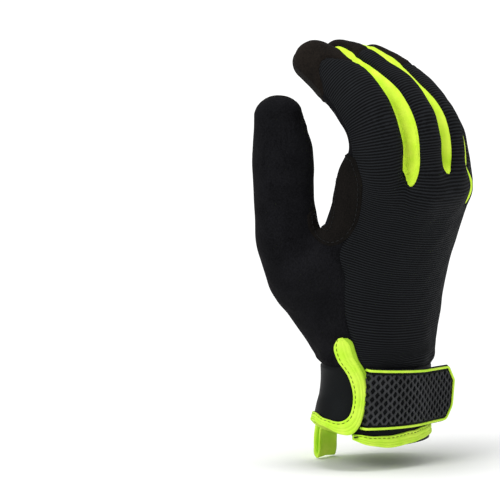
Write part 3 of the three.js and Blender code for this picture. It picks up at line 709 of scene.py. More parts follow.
def add_node(tree: bpy.types.NodeTree, kind: str, sockets: Optional[dict] = None, **settings) -> bpy.types.Node:
    """Add a node with its settings and links.

    Args:
        tree: The material's node tree.
        kind: The node's type name after ShaderNode.
        sockets: Input name or index to a value or to an output that feeds it.
        **settings: Properties of the node.

    Returns:
        The node.
    """
    node = tree.nodes.new("ShaderNode" + kind)
    for name, value in settings.items():
        setattr(node, name, value)
    for name, value in (sockets or {}).items():
        if isinstance(value, bpy.types.NodeSocket):
            tree.links.new(value, node.inputs[name])
        else:
            node.inputs[name].default_value = value
    return node


def ramp(tree: bpy.types.NodeTree, factor: bpy.types.NodeSocket,
         stops: Sequence[tuple[float, str]]) -> bpy.types.Node:
    """Colour ramp between sRGB hex colours.

    Args:
        tree: The material's node tree.
        factor: Output that runs the ramp.
        stops: Place and colour of each stop.

    Returns:
        The ramp's node.
    """
    node = add_node(tree, "ValToRGB", {"Fac": factor})
    bar = node.color_ramp
    while len(bar.elements) < len(stops):
        bar.elements.new(0.5)
    for element, (place, colour) in zip(bar.elements, stops):
        element.position = place
        element.color = linear(colour)
    return node


@dataclass(frozen=True)
class Finish:
    """Base of every finish: the constant settings of its shader."""

    name: str
    roughness: float = 0.9
    ior: float = 1.5
    sheen: float = 0.0
    sheen_colour: str = "#8a8a8a"
    specular: float = 0.5

    def shader(self) -> tuple[bpy.types.Material, bpy.types.NodeTree, bpy.types.Node]:
        """New material with the constants on its shader's sockets.

        Returns:
            The material, its node tree and its shader.
        """
        material = bpy.data.materials.new(self.name)
        material.use_nodes = True
        tree = material.node_tree
        body = tree.nodes["Principled BSDF"]
        body.inputs["Roughness"].default_value = self.roughness
        body.inputs["IOR"].default_value = self.ior
        body.inputs["Specular IOR Level"].default_value = self.specular
        body.inputs["Sheen Weight"].default_value = self.sheen
        body.inputs["Sheen Tint"].default_value = linear(self.sheen_colour)
        return material, tree, body

    def finish(self, tree: bpy.types.NodeTree, body: bpy.types.Node, colour: bpy.types.NodeSocket,
               height: bpy.types.NodeSocket, depth: float) -> None:
        """Link a colour and a relief in millimetres to the shader.

        Args:
            tree: The material's node tree.
            body: Its shader.
            colour: Output with the colour.
            height: Output with the relief, from 0 to 1.
            depth: Millimetres of the relief.
        """
        bump = add_node(tree, "Bump", {"Height": height, "Distance": depth * MM, "Strength": 1.0})
        tree.links.new(colour, body.inputs["Base Color"])
        tree.links.new(bump.outputs["Normal"], body.inputs["Normal"])


@dataclass(frozen=True)
class RibKnit(Finish):
    """Fine rib-knitted polyester: raised ribs across the hand, with painted shade as dark lines between them and
    painted light on their crests.
    """

    name: str = "rib_knit_polyester"
    roughness: float = 0.82
    specular: float = 0.09
    pitch: float = 1.35
    bead: float = 0.9
    crest: str = "#202225"
    valley: str = "#040405"

    def material(self) -> bpy.types.Material:
        """Ribs follow the map's second column; a stitch texture runs along each rib.

        Returns:
            The material.
        """
        material, tree, body = self.shader()
        cloth = add_node(tree, "UVMap", uv_map="cloth")
        parts = add_node(tree, "SeparateXYZ", {0: cloth.outputs[0]})
        place = add_node(tree, "TexCoord").outputs["Object"]
        drift = add_node(tree, "TexNoise", {"Vector": place, "Scale": features(16.67), "Detail": 2.0})
        sway = add_node(tree, "Math", {0: drift.outputs["Fac"], 1: 1.1}, operation="MULTIPLY")
        turn = add_node(tree, "Math", {0: parts.outputs[1], 1: 2 * math.pi * features(self.pitch),
                                        2: sway.outputs[0]}, operation="MULTIPLY_ADD")
        wave = add_node(tree, "Math", {0: turn.outputs[0]}, operation="SINE")
        rib = add_node(tree, "Math", {0: wave.outputs[0], 1: 0.5, 2: 0.5}, operation="MULTIPLY_ADD")
        # Ribs and beads are drawn a little coarser than the photo's, so that they show at its size
        beads = add_node(tree, "Math", {0: parts.outputs[0], 1: 2 * math.pi * features(self.bead)},
                         operation="MULTIPLY")
        bead = add_node(tree, "Math", {0: beads.outputs[0]}, operation="SINE")
        fuzz = add_node(tree, "TexNoise", {"Vector": place, "Scale": features(0.385), "Detail": 3.0})
        lumps = add_node(tree, "Math", {0: bead.outputs[0], 1: 0.07, 2: rib.outputs[0]}, operation="MULTIPLY_ADD")
        height = add_node(tree, "Math", {0: fuzz.outputs["Fac"], 1: 0.35, 2: lumps.outputs[0]},
                          operation="MULTIPLY_ADD")
        tone = add_node(tree, "Math", {0: drift.outputs["Fac"], 1: 0.25, 2: lumps.outputs[0]},
                        operation="MULTIPLY_ADD")
        # The colour follows the rib relief: painted shade in the valleys, painted light on the crests, over a soft
        # random drift.
        colour = ramp(tree, tone.outputs[0], ((0.15, self.valley), (0.6, "#0f1012"), (1.0, self.crest)))
        self.finish(tree, body, colour.outputs[0], height.outputs[0], 0.24)
        return material


@dataclass(frozen=True)
class BrushedSuede(Finish):
    """Microfibre suede, brushed: matt black with a short nap that turns lighter where it lies over."""

    name: str = "microfibre_suede_brushed"
    roughness: float = 0.95
    specular: float = 0.06
    sheen: float = 0.03
    sheen_colour: str = "#6f6a66"
    dark: str = "#08080a"
    light: str = "#1a1a1d"

    def material(self) -> bpy.types.Material:
        """Nap over clouds of 15 mm where the pile has been stroked.

        Returns:
            The material.
        """
        material, tree, body = self.shader()
        place = add_node(tree, "TexCoord").outputs["Object"]
        # The nap is drawn at 0.8 mm, about twice its real size, so that it shows
        nap = add_node(tree, "TexNoise", {"Vector": place, "Scale": features(0.8), "Detail": 4.0,
                                          "Roughness": 0.7})
        cloud = add_node(tree, "TexNoise", {"Vector": place, "Scale": features(14.3), "Detail": 5.0,
                                            "Roughness": 0.6})
        pile = add_node(tree, "TexNoise", {"Vector": place, "Scale": features(1.92), "Detail": 3.0})
        soft = add_node(tree, "Math", {0: cloud.outputs["Fac"], 1: 0.4}, operation="MULTIPLY")
        mix = add_node(tree, "Math", {0: nap.outputs["Fac"], 1: 0.9, 2: soft.outputs[0]},
                       operation="MULTIPLY_ADD")
        colour = ramp(tree, mix.outputs[0], ((0.48, self.dark), (0.84, self.light)))
        height = add_node(tree, "Math", {0: pile.outputs["Fac"], 1: 0.8, 2: nap.outputs["Fac"]},
                          operation="MULTIPLY_ADD")
        self.finish(tree, body, colour.outputs[0], height.outputs[0], 0.16)
        return material


@dataclass(frozen=True)
class StretchKnit(Finish):
    """Warp-knitted elastane in fluorescent lime: smooth and soft, with painted highlight and shade in soft random
    clouds.
    """

    name: str = "elastane_knit_lime"
    roughness: float = 0.75
    specular: float = 0.2
    sheen: float = 0.1
    sheen_colour: str = "#f4ffb0"
    dark: str = "#c8f52a"
    light: str = "#e2ff4a"
    gauge: float = 0.55

    def material(self) -> bpy.types.Material:
        """Loops of the knit at their real gauge under a soft change of tone.

        Returns:
            The material.
        """
        material, tree, body = self.shader()
        place = add_node(tree, "TexCoord").outputs["Object"]
        cloud = add_node(tree, "TexNoise", {"Vector": place, "Scale": features(9.1), "Detail": 3.0})
        loops = add_node(tree, "TexVoronoi", {"Vector": place, "Scale": features(self.gauge)})
        # The dark and light limes are painted shade and painted highlight, spread in random clouds.
        colour = ramp(tree, cloud.outputs["Fac"], ((0.3, self.dark), (0.7, self.light)))
        self.finish(tree, body, colour.outputs[0], loops.outputs["Distance"], 0.09)
        return material


@dataclass(frozen=True)
class Neoprene(Finish):
    """Neoprene faced with nylon jersey: smooth, bluish black, with a soft satin light."""

    name: str = "neoprene_nylon_jersey"
    roughness: float = 0.55
    sheen: float = 0.02
    specular: float = 0.1
    dark: str = "#070809"
    light: str = "#0f1315"
    gauge: float = 0.45

    def material(self) -> bpy.types.Material:
        """Jersey of 0.45 mm loops, and random clouds of a lighter tone that is painted highlight.

        Returns:
            The material.
        """
        material, tree, body = self.shader()
        place = add_node(tree, "TexCoord").outputs["Object"]
        cloud = add_node(tree, "TexNoise", {"Vector": place, "Scale": features(22.2), "Detail": 3.0})
        loops = add_node(tree, "TexVoronoi", {"Vector": place, "Scale": features(self.gauge)})
        # The light tone is painted highlight, laid in random clouds over the dark.
        colour = ramp(tree, cloud.outputs["Fac"], ((0.3, self.dark), (0.75, self.light)))
        self.finish(tree, body, colour.outputs[0], loops.outputs["Distance"], 0.06)
        return material


@dataclass(frozen=True)
class MouldedRubber(Finish):
    """Moulded thermoplastic rubber: dark grey with a dull sheen and a fine eroded grain."""

    name: str = "thermoplastic_rubber_moulded"
    roughness: float = 0.5
    specular: float = 0.35
    dark: str = "#1d1e20"
    light: str = "#2f3033"

    def material(self) -> bpy.types.Material:
        """Grain of 0.25 mm from the mould's eroded face.

        Returns:
            The material.
        """
        material, tree, body = self.shader()
        place = add_node(tree, "TexCoord").outputs["Object"]
        grain = add_node(tree, "TexNoise", {"Vector": place, "Scale": features(0.25), "Detail": 2.0})
        cloud = add_node(tree, "TexNoise", {"Vector": place, "Scale": features(11.1), "Detail": 2.0})
        colour = ramp(tree, cloud.outputs["Fac"], ((0.3, self.dark), (0.7, self.light)))
        self.finish(tree, body, colour.outputs[0], grain.outputs["Fac"], 0.05)
        return material


@dataclass(frozen=True)
class SewingThread(Finish):
    """Bonded nylon sewing thread, twisted: a small hard shine on each stitch."""

    name: str = "nylon_thread"
    roughness: float = 0.6
    specular: float = 0.15
    colour: str = "#c8d84a"

    def material(self) -> bpy.types.Material:
        """Twist of the thread as slanted lines.

        Returns:
            The material.
        """
        material, tree, body = self.shader()
        place = add_node(tree, "TexCoord").outputs["Object"]
        twist = add_node(tree, "TexWave", {"Vector": place, "Scale": features(2.0)},
                         bands_direction="DIAGONAL")
        tone = add_node(tree, "TexNoise", {"Vector": place, "Scale": features(3.33)})
        colour = ramp(tree, tone.outputs["Fac"], ((0.2, self.colour), (0.9, self.colour)))
        self.finish(tree, body, colour.outputs[0], twist.outputs["Fac"], 0.05)
        return material


@dataclass(frozen=True)
class StudioFloor(Finish):
    """Matt painted board under the glove."""

    name: str = "painted_board_pale"
    roughness: float = 0.95
    colour: str = "#f4f4f3"

    def material(self) -> bpy.types.Material:
        """Even paint with the faintest roller texture.

        Returns:
            The material.
        """
        material, tree, body = self.shader()
        place = add_node(tree, "TexCoord").outputs["Object"]
        grain = add_node(tree, "TexNoise", {"Vector": place, "Scale": features(2.5)})
        colour = ramp(tree, grain.outputs["Fac"], ((0.0, self.colour), (1.0, self.colour)))
        self.finish(tree, body, colour.outputs[0], grain.outputs["Fac"], 0.02)
        return material


@dataclass
class Wardrobe:
    """Makes each finish once and turns meshes into dressed pieces."""

    finishes: dict[str, Finish]
    made: dict[str, bpy.types.Material] = field(default_factory=dict)

    def piece(self, name: str, mesh: Mesh, finish: str, slot: Slot, nodes: Sequence[str] = (),
              second: Optional[tuple[str, np.ndarray]] = None) -> bpy.types.Object:
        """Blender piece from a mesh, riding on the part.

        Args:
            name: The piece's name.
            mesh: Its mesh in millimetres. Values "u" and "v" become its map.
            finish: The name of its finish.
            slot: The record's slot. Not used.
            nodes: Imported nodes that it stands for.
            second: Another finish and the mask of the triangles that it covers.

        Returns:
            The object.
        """
        data = bpy.data.meshes.new(name)
        count = len(mesh.faces)
        data.vertices.add(len(mesh.points))
        data.vertices.foreach_set("co", (mesh.points * MM).astype(np.float32).ravel())
        data.loops.add(3 * count)
        data.loops.foreach_set("vertex_index", mesh.faces.astype(np.int32).ravel())
        data.polygons.add(count)
        data.polygons.foreach_set("loop_start", np.arange(0, 3 * count, 3, dtype=np.int32))
        data.update(calc_edges=True)
        data.polygons.foreach_set("use_smooth", np.ones(count, bool))
        if "u" in mesh.values:
            layer = data.uv_layers.new(name="cloth")
            corner = mesh.faces.ravel()
            uv = np.stack([mesh.values["u"][corner], mesh.values["v"][corner]], 1) * MM
            layer.data.foreach_set("uv", uv.astype(np.float32).ravel())
        data.materials.append(self.material(finish))
        if second is not None:
            data.materials.append(self.material(second[0]))
            data.polygons.foreach_set("material_index", second[1].astype(np.int32))
        data.validate()
        item = bpy.data.objects.new(name, data)
        bpy.context.scene.collection.objects.link(item)
        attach(item, "root")
        if nodes:
            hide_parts(*nodes)
        LOG.info("%s: %d triangles", name, count)
        return item

    def material(self, finish: str) -> bpy.types.Material:
        """Material of a finish, made at its first use.

        Args:
            finish: The finish's name.

        Returns:
            The material.
        """
        if finish not in self.made:
            self.made[finish] = self.finishes[finish].material()
        return self.made[finish]


@dataclass
class Stitching:
    """Rows of sewn stitches, each one a short thread that dips into the cloth at both ends."""

    radius: float = 0.3
    length: float = 2.1
    gap: float = 0.7
    sides: int = 6

    def along(self, line: np.ndarray, normal: np.ndarray) -> Mesh:
        """Stitches along a line on the cloth.

        Args:
            line: Points of the line, in order.
            normal: Outward direction of the cloth at each point.

        Returns:
            One mesh of all the stitches.
        """
        run = run_lengths(line)
        pitch = self.length + self.gap
        starts = np.arange(pitch / 4, run[-1] - self.length, pitch)
        if len(starts) == 0:
            return Mesh(np.zeros((0, 3)), np.zeros((0, 3), int))
        shares = np.array([0, 0.12, 0.35, 0.65, 0.88, 1.0])
        at = starts[:, None] + shares * self.length
        read = lambda v: np.stack([np.interp(at, run, v[:, k]) for k in range(3)], -1)
        place, out = read(line), unit(read(normal))
        lift = np.array([-0.8, 0.1, 0.55, 0.55, 0.1, -0.8]) * self.radius
        size = np.array([0.35, 0.9, 1.0, 1.0, 0.9, 0.35]) * self.radius
        place = place + out * lift[:, None]
        heading = unit(np.gradient(place, axis=1))
        side = unit(np.cross(heading, out))
        out = np.cross(side, heading)
        turns = np.linspace(0, 2 * math.pi, self.sides, endpoint=False)
        rings = (place[:, :, None] + side[:, :, None] * (np.cos(turns) * size[:, None])[None, :, :, None]
                 + out[:, :, None] * (np.sin(turns) * size[:, None])[None, :, :, None])
        return joined([tube(ring) for ring in rings])


@dataclass
class Form:
    """The glove's smooth outside with the seams marked on it as values."""

    hand: Hand = field(default_factory=Hand)
    step: float = 0.95
    band: float = 11.0
    low: tuple[float, float, float] = (-76, -64, -14)
    high: tuple[float, float, float] = (62, 46, 232)
    finger_blend: float = 1.8
    root_blend: float = 5.0
    thumb_blend: float = 7.0

    def __post_init__(self) -> None:
        """Make the digits and the blended volume."""
        hand = self.hand
        across = (1.0, 0.0, 0.0)
        self.fingers = {
            "index": Digit(hand, 28, (
                (-0.19, -0.26, 0.33, 0.78, 0.66), (-0.262, -0.6, 0.555, 0.95, 0.93), (-0.285, -0.64, 0.65, 0.98, 1.02),
                (-0.295, -0.56, 0.74, 1, 1.06), (-0.302, -0.32, 0.82, 1, 1.06), (-0.31, 0.02, 0.883, 0.94, 0.94),
                (-0.322, 0.33, 0.922, 0.84, 0.8)), (0.94, -0.34, 0)),
            "middle": Digit(hand, 25, (
                (-0.01, -0.4, 0.35, 0.8, 0.66), (-0.022, -0.84, 0.567, 0.97, 1), (-0.022, -0.83, 0.65, 0.96, 1),
                (-0.022, -0.76, 0.73, 0.97, 1.02), (-0.022, -0.56, 0.795, 1, 1.05), (-0.022, -0.2, 0.855, 0.97, 0.98),
                (-0.022, 0.16, 0.897, 0.92, 0.9), (-0.022, 0.46, 0.912, 0.84, 0.82)), across),
            "ring": Digit(hand, 24.6, (
                (0.19, -0.34, 0.35, 0.8, 0.66), (0.217, -0.76, 0.567, 0.97, 1), (0.228, -0.74, 0.665, 0.96, 1),
                (0.23, -0.6, 0.735, 0.98, 1.03), (0.233, -0.3, 0.797, 1, 1.04), (0.235, 0.08, 0.85, 0.96, 0.96),
                (0.235, 0.42, 0.88, 0.88, 0.86)), across),
            "little": Digit(hand, 21.5, (
                (0.38, -0.16, 0.35, 0.8, 0.7), (0.44, -0.46, 0.55, 0.98, 1.02), (0.455, -0.4, 0.64, 0.98, 1.02),
                (0.468, -0.2, 0.712, 1, 1.04), (0.478, 0.1, 0.772, 0.97, 0.98), (0.48, 0.42, 0.812, 0.9, 0.88)),
                (0.94, 0.34, 0)),
        }
        self.thumb = Digit(hand, 33, (
            (-0.1, 0.06, 0.03, 1.08, 1.1), (-0.235, 0.28, 0.157, 1.14, 1.12), (-0.37, 0.42, 0.27, 1.15, 1.08),
            (-0.465, 0.49, 0.38, 1.08, 0.98), (-0.5, 0.5, 0.495, 1, 0.86), (-0.515, 0.5, 0.645, 1, 0.78),
            (-0.535, 0.53, 0.76, 0.78, 0.66)), (0.68, -0.73, 0))
        self.web = Digit(hand, 19, (
            (-0.29, -0.46, 0.67, 0.7, 0.8), (-0.32, -0.36, 0.595, 0.92, 0.95), (-0.34, -0.3, 0.5, 1.05, 1.05),
            (-0.36, -0.2, 0.405, 1.15, 1.15), (-0.39, -0.04, 0.335, 1.3, 1.3), (-0.41, 0.16, 0.285, 1.5, 1.5),
            (-0.42, 0.36, 0.26, 1.6, 1.5)), (0.6, -0.8, 0))
        self.volumes = self.make_volumes()

    def make_volumes(self) -> dict[str, Volume]:
        """Distance field of each body and of the blended whole.

        Returns:
            The fields by name.
        """
        origin = np.floor(np.array(self.low) / self.step).astype(int)
        shape = tuple(int(v) for v in np.ceil((np.array(self.high) - self.low) / self.step))
        heights = np.concatenate([[-10], np.arange(0, self.hand.cuff_height + 0.6 * self.hand.length, 1.5)])
        turns = np.linspace(0, 2 * math.pi, 120, endpoint=False)
        rings = np.array([self.hand.ring_point(turns, np.full(120, max(z, 0.0))) for z in heights])
        rings[0, :, 2] = heights[0]
        bodies = {"hand": tube(rings), "thumb": self.thumb.solid(), "web": self.web.solid()}
        bodies.update({name: digit.solid() for name, digit in self.fingers.items()})
        made = {name: Volume.around(body, origin, shape, self.step, self.band) for name, body in bodies.items()}
        fingers = made["index"].cells
        for name in ("middle", "ring", "little"):
            fingers = soft_min(fingers, made[name].cells, self.finger_blend)
        whole = soft_min(made["hand"].cells, fingers, self.root_blend)
        whole = soft_min(whole, made["web"].cells, self.root_blend)
        whole = soft_min(whole, made["thumb"].cells, self.thumb_blend)
        made["whole"] = Volume(origin, self.step, np.ascontiguousarray(whole, np.float32))
        return made

    def skin(self) -> Mesh:
        """Smooth outside above the cuff.

        Returns:
            The skin.
        """
        mesh = self.volumes["whole"].surface().smoothed(6)
        turn = np.arctan2(mesh.points[:, 1] / self.hand.wrist_depth, mesh.points[:, 0] / self.hand.wrist_width)
        mesh.values["height"] = mesh.points[:, 2] - self.hand.cuff_height + self.hand.overlap(turn)
        mesh = mesh.split("height")
        return mesh.keep(mesh.middle("height") > 0).main_body()


@dataclass
class Seams:
    """Seam lines of the glove, marked on a skin as signed distances in millimetres."""

    form: Form
    knit_half: float = 50.0
    # Millimetres of a degree round a finger and of the whole of a finger's share
    degree: float = 0.21
    finger_run: float = 80.0
    thumb_top: float = 117.0
    palm_edge: float = 134.0
    touch_half: float = 75.0
    # Rows of the seams over the hand: up, then x and y of the back seam, the ball seam and the side seam
    hand_rows: Rows = ((0, -0.31, -0.36, -0.145, 0.3, 0.4, 0.14), (0.09, -0.32, -0.33, -0.115, 0.25, 0.435, 0),
                       (0.18, -0.335, -0.3, -0.09, 0.15, 0.48, -0.1),
                       (0.275, -0.365, -0.32, -0.125, -0.05, 0.51, -0.18),
                       (0.365, -0.4, -0.34, -0.14, -0.25, 0.53, -0.28), (0.42, -0.4, -0.42, -0.24, -0.36, 0.545, -0.38),
                       (0.62, -0.42, -0.52, -0.3, -0.4, 0.56, -0.46))
    # Rows of the crotch patch: across and up of its outer edge, then of its inner edge
    crotch_rows: Rows = ((-0.1, 0.65, -0.2, 0.67), (-0.06, 0.58, -0.22, 0.59), (-0.058, 0.53, -0.23, 0.53),
                         (-0.078, 0.466, -0.24, 0.48), (-0.115, 0.425, -0.25, 0.455), (-0.17, 0.395, -0.26, 0.44),
                         (-0.24, 0.38, -0.27, 0.435), (-0.31, 0.388, -0.28, 0.44), (-0.355, 0.405, -0.29, 0.455),
                         (-0.38, 0.43, -0.295, 0.475), (-0.385, 0.465, -0.3, 0.5))
    # Rows of the palm patch: x and up of the edge by the thumb, then of the edge by the heel
    palm_rows: Rows = ((0.62, 0.532, 0.62, 0.444), (0.21, 0.54, 0.2, 0.438), (-0.19, 0.492, 0.1, 0.425),
                       (-0.31, 0.455, 0.08, 0.38), (-0.14, 0.37, 0.07, 0.33), (-0.137, 0.285, 0.08, 0.25),
                       (-0.088, 0.19, 0.075, 0.165), (-0.112, 0.095, 0.062, 0.08), (-0.14, -0.02, 0.05, -0.02))
    # Strips between fingers: the two fingers, the share where the strip starts, then rows of share, dorsal
    # edge on the first finger, dorsal edge on the second in degrees, and half width about the valley
    strips: Sequence[tuple[str, str, float, Rows]] = (
        ("index", "middle", 0.17, (
            (0.15, 62, 52, 2.2), (0.2, 64, 50, 4.2), (0.26, 67, 48, 6.5), (0.34, 71, 45, 12), (0.45, 70, 43, 99),
            (0.6, 69, 40, 99), (0.7, 63, 43, 99), (0.77, 46, 45, 99), (0.81, 30, 48, 99), (0.85, 34, 47, 99),
            (0.9, 50, 40, 99), (1.0, 66, 34, 99))),
        ("middle", "ring", 0.15, (
            (0.15, 52, 32, 99), (0.25, 68, 26, 99), (0.35, 71, 21, 99), (0.45, 70, 18, 99), (0.55, 62, 19, 99),
            (0.63, 44, 24, 99), (0.68, 28, 23, 99), (0.75, 14, 20, 99), (0.83, 12, 12, 99), (1.0, 22, 4, 99))),
        ("ring", "little", 0.128, (
            (0.12, 8, 60, 2.2), (0.17, 10, 60, 2.8), (0.22, 24, 56, 4), (0.3, 38, 52, 9), (0.4, 44, 48, 99),
            (1.0, 48, 46, 99))))
    # Rows of the seam between the index finger's knit and its tip: angle and share
    index_cap: Rows = ((-180, 0.79), (-105, 0.775), (-84, 0.816), (-66, 0.866), (-47, 0.896), (-26, 0.886),
                       (-5, 0.84), (22, 0.8), (60, 0.79), (180, 0.79))
    caps: Sequence[float] = (0.0, 0.825, 0.775, 0.79)

    def mark(self, skin: Mesh) -> None:
        """Add the seam values and the knit's map to a skin.

        Args:
            skin: The skin.
        """
        hand, points = self.form.hand, skin.points
        p, q = hand.palm_width, hand.palm_depth
        up = (points[:, 2] - hand.cuff_height) / hand.length
        table = np.array(self.hand_rows)
        _, back_y, ball_x, _, _, side_y = hermite(table[:, 0], table[:, 1:], up).T
        spots = {name: digit.locate(points) for name, digit in self.form.fingers.items()}
        near = {name: self.form.volumes[name].at(points) for name in (*spots, "thumb", "hand", "web")}
        self.mark_thumb(skin, near, points[:, 1] - back_y * q, ball_x * p - points[:, 0])
        middle = hermite(*self.middle_line(), points[:, 2])
        by_hand = points[:, 1] - np.where(points[:, 0] > middle, side_y, back_y) * q
        self.mark_palm(skin, spots, near, by_hand)
        for radial, ulnar, start, rows in self.strips:
            lean = (near[radial] - near[ulnar]) / 0.8
            skin.values[f"strip_{radial}"] = self.strip(spots[radial], spots[ulnar], lean, start, rows)
        self.mark_patches(skin, spots, near)
        self.mark_map(skin, spots, near)

    def middle_line(self) -> tuple[np.ndarray, np.ndarray]:
        """Heights and x of the middle of the hand."""
        knots, table = self.form.hand.columns()
        return knots, table[:, 0]

    def mark_thumb(self, skin: Mesh, near: dict, back: np.ndarray, ball: np.ndarray) -> None:
        """Thumb panel: the ball of the thumb and its tube.

        Args:
            skin: The skin that is marked.
            near: Distance of its points from each body.
            back: Distance in front of the back seam.
            ball: Distance outside the ball seam.
        """
        lower = self.thumb_top - skin.points[:, 2]
        region = soft_min(soft_min(back, ball, 3.0), lower, 3.0)
        others = np.min([near[name] for name in near if name not in ("thumb", "web")], axis=0)
        tube_side = others - near["thumb"]
        tube_side = np.minimum(tube_side, near["web"] - near["thumb"] + 3)
        skin.values["thumb"] = np.maximum(region, np.clip(tube_side, -8, 8))

    def mark_palm(self, skin: Mesh, spots: dict, near: dict, by_hand: np.ndarray) -> None:
        """Palm suede: the palm, the palm sides of the fingers and their tips.

        Args:
            skin: The skin that is marked.
            spots: Where its points lie on each finger.
            near: Distance of its points from each body.
            by_hand: Distance in front of the seams over the hand.
        """
        names = list(spots)
        first = np.argmin([near[name] for name in names], axis=0)
        share = np.choose(first, [spots[name].share for name in names])
        angle = np.choose(first, [spots[name].angle for name in names])
        middle = np.where(first == 0, -27.5, 0)
        half = np.where(first == 0, self.knit_half + 27.5, self.knit_half)
        by_finger = (np.abs(angle - middle) - half) * self.degree
        blend = smoothstep(0.1, 0.24, share)
        region = by_hand * (1 - blend) + by_finger * blend
        index_cap = np.array(self.index_cap)
        start = np.where(first == 0, np.interp(angle, index_cap[:, 0], index_cap[:, 1]),
                         np.choose(first, self.caps) + 0.02 * np.cos(np.radians(angle)))
        tip = (share - start) * 82
        skin.values["palm"] = np.maximum(region, tip)
        skin.values["tip"] = tip

    def strip(self, radial: Spot, ulnar: Spot, lean: np.ndarray, start: float, rows: Rows) -> np.ndarray:
        """Strip between two fingers: positive on it, with a rounded lower point.

        Args:
            radial: Where points lie on the finger by the thumb's side.
            ulnar: Where points lie on the other finger.
            lean: How much nearer each point is to the other finger.
            start: Share where the strip starts.
            rows: Share, the dorsal edge on each finger and the half width about the valley.

        Returns:
            Distance inside the strip in millimetres.
        """
        share = (radial.share + ulnar.share) / 2
        table = np.array(rows)
        low, high, half = (np.interp(share, table[:, 0], table[:, k]) for k in (1, 2, 3))
        one = np.minimum(radial.angle - low, self.palm_edge - radial.angle) * self.degree
        two = np.minimum(-ulnar.angle - high, self.palm_edge + ulnar.angle) * self.degree
        other = 1 / (1 + np.exp(-lean))
        ends = np.minimum((share - start) * 0.38, 1.03 - share) * self.finger_run
        ends = soft_min(ends, half - 0.4 * np.abs(lean), 1.5)
        return soft_min(one * (1 - other) + two * other, ends, 3.5)

    def band_outline(self, rows: Rows) -> np.ndarray:
        """Closed outline of a band between two edges.

        Args:
            rows: Across and up of one edge, then of the other, as shares of the palm's width and hand's length.

        Returns:
            The outline in millimetres, two columns.
        """
        hand = self.form.hand
        table = np.array(rows) * np.array([hand.palm_width, hand.length, hand.palm_width, hand.length])
        table[:, [1, 3]] += hand.cuff_height
        dense = hermite(np.arange(len(table)), table, np.linspace(0, len(table) - 1, 60))
        return np.vstack([dense[:, :2], dense[::-1, 2:]])

    def mark_patches(self, skin: Mesh, spots: dict, near: dict) -> None:
        """Crotch patch, palm patch and the two touch patches.

        Args:
            skin: The skin that is marked.
            spots: Where its points lie on each finger.
            near: Distance of its points from each body.
        """
        hand, points = self.form.hand, skin.points
        across = points[:, 0] * 0.682 - points[:, 1] * 0.731
        deep = points[:, 0] * 0.731 + points[:, 1] * 0.682
        flat = outline_distance(np.stack([across, points[:, 2]], 1), self.band_outline(self.crotch_rows))
        skin.values["crotch"] = np.minimum(flat, -0.24 * hand.palm_width - deep)
        flat = outline_distance(points[:, [0, 2]], self.band_outline(self.palm_rows))
        front = points[:, 1] - hermite(*self.middle_depth(), points[:, 2])
        region = np.minimum(np.minimum(flat, front), skin.values["palm"] - 0.6)
        skin.values["palm_patch"] = np.minimum(region, -skin.values["crotch"] - 0.4)
        for name, first in (("index", 0.78), ("thumb", 0.79)):
            spot = spots[name] if name in spots else self.form.thumb.locate(points)
            palm_side = (self.touch_half - np.abs(np.abs(spot.angle) - 180)) * self.degree
            others = [near[k] for k in near if k not in (name, "web")]
            own = np.min(others, axis=0) - near[name]
            region = soft_min(palm_side, (spot.share - first) * self.finger_run, 3.0)
            skin.values[f"touch_{name}"] = np.minimum(region, own + 1)

    def middle_depth(self) -> tuple[np.ndarray, np.ndarray]:
        """Heights and y of the middle of the hand."""
        knots, table = self.form.hand.columns()
        return knots, table[:, 1]

    def mark_map(self, skin: Mesh, spots: dict, near: dict) -> None:
        """Map of the knit: v along the hand and fingers, u around them.

        Args:
            skin: The skin that is marked.
            spots: Where its points lie on each finger.
            near: Distance of its points from each body.
        """
        hand, points = self.form.hand, skin.points
        knots, table = hand.columns()
        heights = np.linspace(0, knots[-1] + 20, 200)
        line = hermite(knots, table[:, :2], heights)
        spine = np.column_stack([line, heights])
        arc = run_lengths(spine)
        heading = unit(np.gradient(spine, axis=0))

        def read(place: np.ndarray) -> np.ndarray:
            """Length along the spine up to each place."""
            k = nearest(place, spine)
            return arc[k] + np.einsum("ij,ij->i", place - spine[k], heading[k])

        by_hand = read(points)
        names = list(spots)
        weights = np.exp(-np.array([np.maximum(near[name], -3) for name in names]) / 1.2)
        weights /= weights.sum(0)
        by_finger, share = np.zeros(len(points)), np.zeros(len(points))
        for weight, name in zip(weights, names):
            digit = self.form.fingers[name]
            root = int(0.2 * (digit.stations - 1))
            start = read(digit.places[root:root + 1])[0] - digit.arc[root]
            by_finger += weight * (spots[name].arc + start)
            share += weight * spots[name].share
        blend = smoothstep(0.02, 0.3, share)
        skin.values["v"] = by_hand * (1 - blend) + by_finger * blend
        skin.values["u"] = points[:, 0] - 0.6 * points[:, 1]


